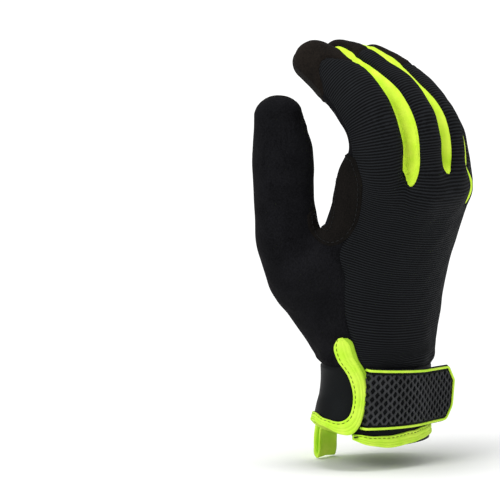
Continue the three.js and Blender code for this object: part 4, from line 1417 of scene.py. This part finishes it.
@dataclass
class ClothPanels:
    """Panels, strips and patches of the hand part."""

    seams: Seams
    wardrobe: Wardrobe
    wall: float = 1.3
    seam_depth: float = 0.85
    seam_reach: float = 1.25
    patch_height: float = 0.75

    def build(self) -> None:
        """Cut the skin into its panels and lay the patches over them."""
        skin = self.seams.form.skin()
        self.seams.mark(skin)
        plain = Mesh(skin.points, skin.faces, dict(skin.values))
        normals = plain.normals()
        plain.points = plain.points + normals * self.folds(plain)[:, None]
        plain.keep_normals()
        strips = [f"strip_{radial}" for radial, *_ in self.seams.strips]
        cut = plain
        for name in (*strips, "thumb", "palm"):
            cut = cut.split(name)
        region = np.zeros(len(cut.faces), int)
        region[cut.middle("palm") > 0] = 1
        region[cut.middle("thumb") > 0] = 2
        for i, name in enumerate(strips):
            region[cut.middle(name) > 0] = 3 + i
        cut.points = cut.points + cut.kept_normals() * self.seam_relief(cut, region)[:, None]
        names = ["back_panel", "palm_panel", "thumb_panel", "fourchette_index_middle", "fourchette_middle_ring",
                 "fourchette_ring_little"]
        finishes = ["rib_knit", "suede", "suede", "lime_knit", "lime_knit", "lime_knit"]
        slots = [Slot.RIB_KNIT, Slot.SUEDE, Slot.SUEDE, Slot.LIME_KNIT, Slot.LIME_KNIT, Slot.LIME_KNIT]
        for i, (name, finish, slot) in enumerate(zip(names, finishes, slots)):
            panel = cut.keep(region == i).thick(self.wall)
            tips = ("tip_suede", panel.middle("tip") > 0) if name == "palm_panel" else None
            self.wardrobe.piece(name + "_cloth", panel, finish, slot, [name], tips)
        self.patches(plain)
        UlnarPrint(self.seams, self.wardrobe).build(plain)

    def folds(self, skin: Mesh) -> np.ndarray:
        """Height of the soft swells and creases of worn cloth.

        Args:
            skin: The marked skin.

        Returns:
            One height for each point.
        """
        points = skin.points
        swell = 0.28 * wavy(points, 26, 3) + 0.12 * wavy(points, 11, 5)
        cuff = np.exp(-np.maximum(points[:, 2] - self.seams.form.hand.cuff_height, 0) / 7)
        ruck = 0.35 * wavy(points * np.array([1, 1, 2.2]), 15, 8) * cuff
        tip = skin.values["tip"]
        gather = 0.32 * np.sin(skin.values["u"] * 1.9) * np.exp(-np.abs(tip) / 2.2)
        return swell + ruck + gather

    def seam_relief(self, cut: Mesh, region: np.ndarray) -> np.ndarray:
        """Height of the panels beside their seams: a groove, and a soft roll next to it.

        Args:
            cut: The skin, cut along its seams.
            region: Panel of each triangle.

        Returns:
            One height for each point.
        """
        key = np.sort(cut.edges(), axis=1)
        owner = np.tile(region, 3)
        order = np.lexsort((key[:, 1], key[:, 0]))
        key, owner = key[order], owner[order]
        same = (key[1:] == key[:-1]).all(1) & (owner[1:] != owner[:-1])
        rim = cut.rim()
        marked = np.unique(np.concatenate([key[1:][same].ravel(), rim.ravel()]))
        tree = KDTree(len(marked))
        for i, place in enumerate(cut.points[marked]):
            tree.insert(place, i)
        tree.balance()
        away = np.array([tree.find(p)[2] for p in cut.points])
        groove = -self.seam_depth * np.exp(-(away / self.seam_reach) ** 2)
        roll = 0.22 * np.exp(-((away - 2.6) / 1.4) ** 2)
        relief = Mesh(cut.points, cut.faces, {"relief": groove + roll})
        return relief.smoothed(2, "relief").values["relief"]

    def patches(self, plain: Mesh) -> None:
        """Lay the overlays on the skin and sew them down.

        Args:
            plain: The marked skin, not yet cut.
        """
        looks = {
            "crotch": ("thumb_crotch_patch", "patch_suede", Slot.PATCH_SUEDE),
            "palm_patch": ("palm_patch", "patch_suede", Slot.PATCH_SUEDE),
            "touch_index": ("index_tip_cap", "touch_cloth", Slot.TOUCH_CLOTH),
            "touch_thumb": ("thumb_tip_patch", "touch_cloth", Slot.TOUCH_CLOTH),
        }
        for value, (name, finish, slot) in looks.items():
            cut = plain.split(value)
            patch = cut.keep(cut.middle(value) > 0).main_body()
            away = np.maximum(patch.values[value], 0)
            height = self.patch_height * (1 - 0.85 * np.exp(-away / 0.45))
            patch.points = patch.points + patch.kept_normals() * height[:, None]
            self.wardrobe.piece(name + "_cloth", patch.thick(self.patch_height), finish, slot, [name])
            if value == "crotch":
                self.sew(patch, value, (1.9,), "crotch_stitches", "thread_black", Slot.PATCH_SUEDE)
            if value == "palm_patch":
                self.sew(patch, value, (1.3, 3.1), "palm_patch_stitches", "thread_lime", Slot.LIME_TAPE,
                         (self.seams.form.hand.cuff_height + 4.5, 0.495 * self.seams.form.hand.palm_width))

    def sew(self, patch: Mesh, value: str, levels: Sequence[float], name: str, finish: str, slot: Slot,
            reach: tuple[float, float] = (-1e9, 1e9)) -> None:
        """Rows of stitches at distances inside a patch's edge.

        Args:
            patch: The patch.
            value: The value that holds the distance inside its edge.
            levels: Distance of each row.
            name: The piece's name.
            finish: The thread's finish.
            slot: The record's slot.
            reach: Lowest z and greatest x that are sewn.
        """
        normals = patch.normals()
        tree = BVHTree.FromPolygons(patch.points.tolist(), patch.faces.tolist())
        rows = []
        for level in levels:
            for line in self.runs(patch.contour(value, level), reach):
                hits = [tree.find_nearest(Vector(p)) for p in line]
                out = unit(np.array([normals[patch.faces[hit[2]]].mean(0) for hit in hits]))
                rows.append(Stitching().along(line, out))
        self.wardrobe.piece(name, joined(rows), finish, slot)

    def runs(self, lines: list[np.ndarray], reach: tuple[float, float]) -> list[np.ndarray]:
        """Unbroken stretches of lines above a height and on the thumb's side of a plane.

        Args:
            lines: The lines, closed ones too.
            reach: Lowest z and greatest x that are kept.

        Returns:
            The stretches.
        """
        found = []
        for line in lines:
            open_at = int(np.argmin((line[:, 2] > reach[0]) & (line[:, 0] < reach[1])))
            line = np.roll(line, -open_at, axis=0)
            kept = (line[:, 2] > reach[0]) & (line[:, 0] < reach[1])
            breaks = np.flatnonzero(np.diff(kept.astype(int))) + 1
            for stretch, sewn in zip(np.split(line, breaks), np.split(kept, breaks)):
                if sewn[0] and len(stretch) > 6:
                    found.append(stretch)
        return found


@dataclass
class Cuff:
    """Neoprene cuff, its folded binding tape and the tape of the slit."""

    hand: Hand
    wardrobe: Wardrobe
    thickness: float = 2.2
    start_angle: float = 213.0
    end_angle: float = 582.0
    # Rows of the tape: turn and height of its outer edge, then of its inner edge, from the slit's top round
    # the corner and along the hem to the back flap
    tape_rows: Rows = (
        (200.6, 60.4, 189, 59), (205.4, 57, 186.4, 55.4), (207.8, 52.2, 187.6, 51), (210, 47.8, 191.4, 46.2),
        (214.6, 43.6, 197, 42.8), (219.8, 38.6, 203.2, 38.4), (223.2, 33, 207.8, 33), (224.4, 27.5, 210.6, 27.5),
        (224.6, 21.5, 211.6, 21.5), (223.6, 15.5, 210.8, 16.2), (221.4, 10, 208.2, 12.4), (218, 5.4, 204.2, 9.6),
        (213.2, 1.4, 198.6, 7.6), (206.5, -1, 191.6, 6.6), (198, -1.6, 185.6, 6.5), (186, -1.1, 179, 7),
        (170, 0.1, 168, 8.3), (150, 1.6, 150, 10), (130, 0.8, 130, 9.2), (108, -0.6, 108, 7.2),
        (85, -1.7, 85, 5.8), (60, -1.6, 60, 5.8), (30, -1.2, 30, 6), (0, -0.2, 0, 7), (-25, 1, -25, 7.6),
        (-52, 1.4, -52, 7.6), (-70, 0.8, -70, 7), (-92, -0.4, -92, 6.2), (-110, -1.2, -110, 5.2),
        (-128, -2, -128, 3.6), (-139, -2.3, -139, 2.4), (-146, -2.2, -146, 1.2))

    def build(self) -> None:
        """Build the band, the tapes and their stitches."""
        self.band()
        self.tape()
        self.slit_edge()
        self.bartack()

    def spiral(self, turn: np.ndarray) -> np.ndarray:
        """Offset of the band: one flap of the slit lies over the other.

        Args:
            turn: Angles in degrees.

        Returns:
            One offset for each angle.
        """
        under = -1.7 * (1 - smoothstep(self.start_angle, self.start_angle + 24, turn))
        over = 0.35 * smoothstep(self.end_angle - 26, self.end_angle, turn)
        return under + over

    def band(self) -> None:
        """Neoprene band, one sheet that overlaps itself at the slit."""
        rows, columns = 46, 320
        share = np.linspace(0, 1, columns)
        heights = np.linspace(-0.6, self.hand.cuff_height + 0.5, rows)
        table = np.array(self.tape_rows[:14], float)
        order = np.argsort(table[:, 1])
        ends = np.interp(heights, table[order, 1], table[order, 0]) - 2.5 + 360
        turn = self.start_angle + (np.minimum(ends, self.end_angle)[:, None] - self.start_angle) * share
        rise = 2.4 * np.maximum(0, np.cos(np.radians(turn - 510))) ** 3
        height = heights[:, None] + rise * (1 - heights[:, None] / self.hand.cuff_height)
        swell = 0.35 * np.sin(np.radians(turn) * 7 + 1) * np.sin(height / self.hand.cuff_height * math.pi)
        tuck = -1.5 * smoothstep(-1.6, 0.2, height - self.hand.cuff_height + self.hand.overlap(np.radians(turn)))
        offset = self.spiral(turn) + 0.5 * swell + tuck
        points = self.hand.cuff_point(np.radians(turn), height, offset).reshape(-1, 3)
        index = np.arange(rows * columns).reshape(rows, columns)
        a, b, c, d = (index[:-1, :-1], index[:-1, 1:], index[1:, 1:], index[1:, :-1])
        faces = np.vstack([np.stack([v.ravel() for v in corners], 1) for corners in ((a, b, c), (a, c, d))])
        band = Mesh(points, faces)
        middle = band.points.mean(0)
        if np.einsum("ij,ij->", band.normals(), band.points - middle) < 0:
            band.faces = band.faces[:, ::-1]
        self.wardrobe.piece("cuff_band_neoprene", band.thick(self.thickness), "neoprene", Slot.NEOPRENE, ["cuff_band"])

    def tape(self) -> None:
        """Binding tape folded over the edge, from the slit's top round the corner and along the hem."""
        table = np.array(self.tape_rows, float)
        knots = np.concatenate([[0], np.cumsum(np.hypot(np.diff(table[:, 0]) * 0.6, np.diff(table[:, 1])))])
        dense = hermite(knots, table, np.linspace(0, knots[-1], 420))
        outer_turn, outer_up, inner_turn, inner_up = dense.T
        lay = 0.45 + 0.9 * (smoothstep(200, 222, outer_turn) - smoothstep(-134, -144, outer_turn))
        # Rows: share from the outer edge to the inner edge, and height over the neoprene
        profile = np.array([(1.0, 0.05), (0.985, 0.5), (0.93, 0.85), (0.85, 0.82), (0.8, 0.5), (0.75, 0.82),
                            (0.6, 1.05), (0.48, 1.0), (0.43, 0.6), (0.38, 1.0), (0.27, 1.15), (0.23, 0.8),
                            (0.19, 1.15), (0.08, 1.0), (0.0, 0.55), (-0.03, -0.3), (-0.04, -1.4), (0.0, -2.4),
                            (0.1, -3.1), (0.3, -3.25),
                            (0.72, -3.2), (0.8, -2.95), (0.78, -2.4), (0.3, -2.35), (0.12, -2.2), (0.1, -0.2),
                            (0.3, 0.0), (0.7, 0.0)])
        rounding = np.sqrt(1 - (1 - np.clip(np.arange(1, len(dense) + 1) / 14, 0, 1)) ** 2)[:, None]
        share, height = profile.T
        share = 0.5 + (share - 0.5) * rounding
        turn = outer_turn[:, None] + (inner_turn - outer_turn)[:, None] * share
        up = outer_up[:, None] + (inner_up - outer_up)[:, None] * share
        offset = height + lay[:, None]
        rings = self.hand.cuff_point(np.radians(turn), up, offset)
        rings = rings + 0.12 * wavy(rings.reshape(-1, 3), 9, 21).reshape(rings.shape[:2])[..., None]
        self.wardrobe.piece("binding_tape", tube(rings), "tape", Slot.LIME_TAPE, ["hem_tape", "slit_tape_thumb"])
        normal = unit(rings[:, 4] - self.hand.cuff_point(np.radians(turn[:, 4]), up[:, 4], -3.0))
        stitches = Stitching(radius=0.24, length=1.9, gap=0.9).along(rings[:, 4], normal)
        self.wardrobe.piece("binding_stitches", stitches, "thread_olive", Slot.LIME_TAPE)

    def slit_edge(self) -> None:
        """Narrow tape of the back flap's edge, beside the top of the slit, in a darker lime that is painted shade."""
        path = np.array([(200, 59.6), (205.6, 57.4), (208.8, 52), (211.4, 47), (215.8, 43), (221, 38), (223.8, 32)])
        dense = hermite(np.arange(len(path)), path, np.linspace(0, len(path) - 1, 60))
        profile = np.array([(-2.6, 0.0), (-2.4, 0.75), (-1.2, 1.0), (0.6, 1.0), (1.9, 0.8), (2.2, 0.1), (1.8, -0.6),
                            (-1.8, -0.6)])
        turn = dense[:, 0, None] + profile[:, 0] * 1.45
        up = np.repeat(dense[:, 1, None], len(profile), 1)
        rings = self.hand.cuff_point(np.radians(turn), up, profile[:, 1] - 0.1)
        self.wardrobe.piece("slit_edge_tape", tube(rings), "tape_painted_shade", Slot.LIME_TAPE, ["slit_tape_back"])

    def bartack(self) -> None:
        """Short close row of stitches that holds the corner where the tape meets the back flap."""
        turn = np.radians(np.linspace(215.5, 220.5, 12))
        line = self.hand.cuff_point(turn, np.linspace(-0.4, 1.4, 12), 1.0)
        normal = unit(line - self.hand.cuff_point(turn, np.linspace(-0.4, 1.4, 12), -3.0))
        tack = Stitching(radius=0.42, length=1.1, gap=0.05).along(line, normal)
        self.wardrobe.piece("slit_bartack", tack, "thread_black", Slot.LIME_TAPE)


@dataclass
class Closure:
    """Closure strap with its rubber net and piping."""

    hand: Hand
    wardrobe: Wardrobe
    height: float = 34.4
    lift: float = 8.1
    taper: float = 2.4
    thickness: float = 2.2
    tail: float = 29.0
    start_angle: float = 229.0
    leave_angle: float = 285.0
    tuck: float = 10.0
    column: float = 2.5
    row: float = 4.6
    # The strap is raised at its start and sinks along its run, its top edge more than its bottom edge
    start_rise: float = 0.7
    sink: float = 0.024
    top_sink: float = 0.022
    base: float = 0.6

    def __post_init__(self) -> None:
        """Measure the strap's bend round the wrist."""
        turns = np.radians(np.linspace(self.start_angle, self.leave_angle, 200))
        path = self.hand.ring_point(turns, np.full(200, self.lift))
        self.run = run_lengths(path)
        self.turns = turns
        self.arc = self.run[-1]
        end = self.arc + self.tail
        top = self.lift + self.height
        self.outline = rounded([
            (-self.tuck, self.lift, 0), (self.arc, self.lift, 0), (end - 5, self.lift + 0.6, 5),
            (end, self.lift + 9, 7),
            (end, top - self.taper - 8, 2), (end - 6.5, top - self.taper + 0.6, 0.8), (self.arc, top - 2, 0),
            (-self.tuck, top, 0)])

    def bent(self, mesh: Mesh, rise: float) -> Mesh:
        """Flat mesh of the strap wrapped round the wrist and out along its free tail.

        Args:
            mesh: Mesh whose points are the run along the strap, the height above the hem and the relief.
            rise: Distance of the relief's base out of the cuff.

        Returns:
            The mesh in place.
        """
        run, up, relief = mesh.points.T
        turn = np.interp(np.minimum(run, self.arc), self.run, self.turns)
        turn = turn + np.minimum(run, 0) / (self.run[1] / (self.turns[1] - self.turns[0]))
        low, high = (self.hand.ring_point(turn, np.full(len(turn), z)) for z in (self.lift, self.lift + self.height))
        share = ((up - self.lift) / self.height)[:, None]
        place = low + (high - low) * share
        step = 0.01
        ahead = self.hand.ring_point(turn + step, np.full(len(turn), self.lift + self.height / 2))
        behind = self.hand.ring_point(turn - step, np.full(len(turn), self.lift + self.height / 2))
        side = unit(ahead - behind)
        out = np.stack([side[:, 1], -side[:, 0], np.zeros(len(side))], 1)
        place = place + side * np.maximum(run - self.arc, 0)[:, None]
        curl = 0.0016 * np.maximum(run - self.arc, 0) ** 2 - 5.0 * (1 - smoothstep(-5.0, -1.5, run))
        place = place + out * (relief + rise + curl)[:, None]
        place[:, 2] = up + self.start_rise - run * (self.sink + self.top_sink * share[:, 0])
        return Mesh(place, mesh.faces, mesh.values)

    def pillow(self, flat: Mesh, thickness: float, rounding: float) -> Mesh:
        """Closed plate from a flat mesh, with rounded edges.

        Args:
            flat: The flat mesh, with the value "edge".
            thickness: Thickness of the plate.
            rounding: Width of its rounded edge.

        Returns:
            The plate.
        """
        edge = np.clip(flat.values["edge"] / rounding, 0, 1)
        bulge = np.sqrt(1 - (1 - edge) ** 2) * thickness / 2
        top, bottom = flat.points.copy(), flat.points.copy()
        top[:, 2] = thickness / 2 + bulge
        bottom[:, 2] = thickness / 2 - bulge
        return joined([Mesh(top, flat.faces), Mesh(bottom, flat.faces[:, ::-1])])

    def build(self) -> None:
        """Build the strap, the net and the piping."""
        flat = sheet(self.outline, 0.8)
        strap = self.pillow(flat, self.thickness, 1.1)
        self.wardrobe.piece("closure_strap_body", self.bent(strap, self.base), "neoprene", Slot.NEOPRENE,
                            ["closure_strap"])
        self.piping(flat)
        self.net()

    def piping(self, flat: Mesh) -> None:
        """Flat lime piping sewn inside the strap's edge.

        Args:
            flat: The strap's flat mesh.
        """
        cords = []
        turns = np.linspace(0, 2 * math.pi, 10, endpoint=False)
        for line in flat.contour("edge", 1.3):
            keep = line[:, 0] > -self.tuck + 2.2
            line = line[keep] if keep.all() else self.longest(line, keep)
            run = run_lengths(line)
            at = np.arange(0, run[-1], 0.8)
            line = np.stack([np.interp(at, run, line[:, k]) for k in range(3)], 1)
            heading = unit(np.gradient(line, axis=0))
            side = np.stack([heading[:, 1], -heading[:, 0], heading[:, 2]], 1)
            squash = np.sign(np.sin(turns)) * np.abs(np.sin(turns)) ** 0.7 * 0.5
            rings = line[:, None] + side[:, None] * (np.cos(turns) * 0.7)[None, :, None]
            rings[:, :, 2] += squash + 0.35
            cords.append(tube(rings))
        self.wardrobe.piece("strap_piping_cord", self.bent(joined(cords), self.base + self.thickness),
                            "tape", Slot.LIME_TAPE, ["strap_piping"])

    def longest(self, line: np.ndarray, keep: np.ndarray) -> np.ndarray:
        """Longest unbroken kept stretch of a closed line.

        Args:
            line: The line's points.
            keep: Which of them are kept.

        Returns:
            The stretch.
        """
        start = int(np.argmin(keep))
        line, keep = np.roll(line, -start, axis=0), np.roll(keep, -start)
        return line[keep]

    def net(self) -> None:
        """Rubber net pierced by staggered rows of diamonds."""
        flat = sheet(self.outline, 0.42)
        flat.values["edge"] = flat.values["edge"] - 3.1
        flat = flat.split("edge")
        flat = flat.keep(flat.middle("edge") > 0)
        u, z = flat.points[:, 0], flat.points[:, 1]
        size = 0.9 + 0.22 * smoothstep(0, self.arc + self.tail, u)
        hole = np.full(len(u), 9.0)
        columns = int((self.arc + self.tail + self.tuck) / self.column) + 2
        for i in range(-2, columns):
            for j in range(-1, 9):
                x = i * self.column
                y = self.lift + 3.4 + (j + (0.5 if i % 2 else 0)) * self.row
                a, b = 1.22 * size, 1.82 * size
                reach = np.sqrt(((u - x) / a) ** 2 + 0.006) + np.sqrt(((z - y) / b) ** 2 + 0.006) - 1.03
                hole = np.minimum(hole, reach / np.sqrt(1 / a ** 2 + 1 / b ** 2))
        flat.values["hole"] = hole
        flat = flat.split("hole")
        net = flat.keep(flat.middle("hole") > 0)
        rise = np.clip(np.minimum(net.values["hole"], net.values["edge"]) / 0.55, 0, 1)
        net.points[:, 2] = 0.05 + 1.05 * np.sqrt(1 - (1 - rise) ** 2)
        self.wardrobe.piece("strap_grip_net", self.bent(net.thick(0.3), self.base + self.thickness),
                            "rubber_net", Slot.RUBBER_NET, ["strap_grip"])


@dataclass
class PullTab:
    """Folded ribbon loop at the palm side of the cuff."""

    hand: Hand
    wardrobe: Wardrobe
    angle: float = 96.0
    width: float = 15.0
    thickness: float = 1.1
    # Rows of the ribbon's path: distance out of the cuff and height above the hem
    path: Rows = ((0.9, 42.5), (0.9, 34), (0.9, 24), (1.1, 12), (1.9, 3), (2.2, -4), (2.6, -9.8), (3.7, -12.5),
                  (5.1, -11.2), (5.6, -6), (5.4, 2), (4.6, 12), (3.7, 24), (3.0, 34), (2.4, 42.5))

    def build(self) -> None:
        """Sweep the ribbon along its path."""
        table = np.array(self.path, float)
        knots = run_lengths(table)
        at = np.linspace(0, knots[-1], 150)
        out, up = hermite(knots, table, at).T
        turn = math.radians(self.angle)
        base = self.hand.ring_point(np.full(len(at), turn), np.clip(up, 0, 60))
        normal = unit(np.array([math.cos(turn) / self.hand.wrist_width, math.sin(turn) / self.hand.wrist_depth, 0]))
        side = np.array([-normal[1], normal[0], 0])
        centre = base + normal * out[:, None]
        centre[:, 2] = up
        heading = unit(np.gradient(centre, axis=0))
        face = np.cross(heading, side)
        wide = self.width / 2
        profile = np.array([(-1, -0.3), (-0.97, 0.4), (-0.8, 0.5), (-0.4, 0.42), (0, 0.5), (0.4, 0.42), (0.8, 0.5),
                            (0.97, 0.4), (1, -0.3), (0.8, -0.5), (0, -0.5), (-0.8, -0.5)])
        cup = 0.9 * np.sin(np.linspace(0, math.pi, len(at))) ** 2
        rings = (centre[:, None] + side * (profile[:, 0] * wide)[None, :, None]
                 + face[:, None] * (profile[:, 1] * self.thickness)[None, :, None]
                 + face[:, None] * ((1 - profile[:, 0] ** 2)[None, :, None] * cup[:, None, None]))
        self.wardrobe.piece("pull_tab_ribbon", tube(rings), "tape", Slot.LIME_TAPE, ["pull_tab"])


@dataclass
class UlnarPrint:
    """Row of slanted lime bars printed on the knit along the little finger's side of the hand."""

    seams: Seams
    wardrobe: Wardrobe
    bars: int = 9
    first: float = 50.0
    pitch: float = 9.0
    tall: float = 6.2
    wide: float = 5.6
    slant: float = 0.5
    thickness: float = 0.12

    def build(self, skin: Mesh) -> None:
        """Print the bars on the skin, a little above its surface.

        Args:
            skin: The marked skin, which gets the value "bars".
        """
        points = skin.points
        table = np.array(self.seams.hand_rows)
        up = (points[:, 2] - self.seams.form.hand.cuff_height) / self.seams.form.hand.length
        side_y = hermite(table[:, 0], table[:, 6], up) * self.seams.form.hand.palm_depth
        across = side_y - 7.5 - points[:, 1]
        best = np.full(len(points), -9.0)
        for i in range(self.bars):
            middle = self.first + i * self.pitch
            size = 1 - 0.03 * i
            along = np.abs(points[:, 2] - middle - self.slant * across) - self.tall * size / 2
            best = np.maximum(best, -np.maximum(along, np.abs(across) - self.wide * size / 2))
        ulnar = points[:, 0] - hermite(*self.seams.middle_line(), points[:, 2]) - 15
        skin.values["bars"] = np.minimum(best, ulnar)
        cut = skin.split("bars")
        bars = cut.keep(cut.middle("bars") > 0)
        bars.points = bars.points + bars.kept_normals() * self.thickness
        self.wardrobe.piece("ulnar_bar_print", bars.thick(self.thickness), "print_lime", Slot.LIME_KNIT)


@dataclass
class Studio:
    """Floor, soft lights and the camera."""

    wardrobe: Wardrobe
    azimuth: float = -47.0
    elevation: float = 8.5
    distance: float = 9.0
    scale: float = 0.54
    origin_pixel: tuple[float, float] = (371.0, 438.0)
    frame: float = 500.0
    sensor: float = 36.0
    floor_half: float = 6.0
    world_strength: float = 0.62
    # Rows of the lights: name, aside to the right, towards the camera, angle of the disc and strength
    suns: Sequence[tuple[str, float, float, float, float]] = (("overhead", -0.08, 0.1, 26, 1.6),
                                                              ("key", -0.9, 0.9, 25, 0.9))

    def build(self) -> None:
        """Set the stage."""
        self.floor()
        self.lights()
        self.camera()

    def floor(self) -> None:
        """Large pale floor just under the glove's lowest point."""
        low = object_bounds()[0][2] - 0.6 * MM
        half = self.floor_half
        corners = [(-half, -half, low), (half, -half, low), (half, half, low), (-half, half, low)]
        data = bpy.data.meshes.new("studio_floor")
        data.from_pydata(corners, [], [(0, 1, 2, 3)])
        data.materials.append(self.wardrobe.material("floor"))
        item = bpy.data.objects.new("studio_floor", data)
        bpy.context.scene.collection.objects.link(item)
        item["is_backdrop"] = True

    def lights(self) -> None:
        """Wide soft light from above and the upper left of the view, in a bright plain world."""
        world = bpy.data.worlds.new("studio_world")
        world.use_nodes = True
        background = world.node_tree.nodes["Background"]
        background.inputs["Color"].default_value = linear("#fdfeff")
        background.inputs["Strength"].default_value = self.world_strength
        scene = bpy.context.scene
        scene.world = world
        scene.view_settings.view_transform = "Standard"
        turn = math.radians(self.azimuth)
        back, right = Vector((math.sin(turn), -math.cos(turn), 0)), Vector((math.cos(turn), math.sin(turn), 0))
        for name, aside, away, spread, power in self.suns:
            lamp = bpy.data.lights.new(name, "SUN")
            lamp.angle = math.radians(spread)
            lamp.energy = power
            item = bpy.data.objects.new(name, lamp)
            aim = -(back * away + right * aside + Vector((0, 0, 1)))
            item.rotation_euler = aim.to_track_quat("-Z", "Y").to_euler()
            scene.collection.objects.link(item)

    def camera(self) -> None:
        """Long lens at the photograph's angle, framed as the photograph."""
        turn, rise = math.radians(self.azimuth), math.radians(self.elevation)
        away = Vector((math.sin(turn) * math.cos(rise), -math.cos(turn) * math.cos(rise), math.sin(rise)))
        right = Vector((math.cos(turn), math.sin(turn), 0))
        above = right.cross(-away)
        above = -above if above.z < 0 else above
        px, py = self.origin_pixel
        half = self.frame / 2
        centre = (right * (half - px) - above * (half - py)) * self.scale * MM
        lens = bpy.data.cameras.new("studio_camera")
        lens.sensor_width = self.sensor
        lens.lens = self.sensor * self.distance / (self.frame * self.scale * MM)
        lens.clip_end = 60
        item = bpy.data.objects.new("studio_camera", lens)
        item.location = centre + away * self.distance
        item.rotation_euler = (-away).to_track_quat("-Z", "Y").to_euler()
        bpy.context.scene.collection.objects.link(item)
        bpy.context.scene.camera = item


def main() -> None:
    """Build the glove's sub-assemblies in order and set the stage."""
    logging.basicConfig(level=logging.INFO, format="%(name)s %(message)s")
    LOG.info("frame with %d nodes", len(frame["nodes"]))
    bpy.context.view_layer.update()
    wardrobe = Wardrobe({
        "rib_knit": RibKnit(),
        "suede": BrushedSuede(),
        "patch_suede": BrushedSuede(name="microfibre_suede_patch", dark="#0b0a09", light="#1a1715"),
        "tip_suede": BrushedSuede(name="microfibre_suede_worn", dark="#0f0d0c", light="#241f1b"),
        "touch_cloth": BrushedSuede(name="conductive_suede_brushed", dark="#161514", light="#2c2a28"),
        "lime_knit": StretchKnit(),
        "tape": StretchKnit(name="folded_tape_lime", dark="#c0f234", light="#dcfc56", gauge=0.5),
        # Darker copy of the tape: painted shade on the slit's edge tape.
        "tape_painted_shade": StretchKnit(name="folded_tape_lime_shaded", dark="#8fb81c", light="#a9d432", gauge=0.5),
        "print_lime": StretchKnit(name="screen_print_lime", dark="#b4ee2c", light="#cbf846", gauge=0.8),
        "neoprene": Neoprene(),
        "rubber_net": MouldedRubber(),
        "thread_lime": SewingThread(),
        "thread_olive": SewingThread(name="nylon_thread_olive", colour="#56600f"),
        "thread_black": SewingThread(name="nylon_thread_black", colour="#131314"),
        "floor": StudioFloor(),
    })
    form = Form()
    ClothPanels(Seams(form), wardrobe).build()
    Cuff(form.hand, wardrobe).build()
    Closure(form.hand, wardrobe).build()
    PullTab(form.hand, wardrobe).build()
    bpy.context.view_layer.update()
    Studio(wardrobe).build()


if __name__ == "__main__":
    main()
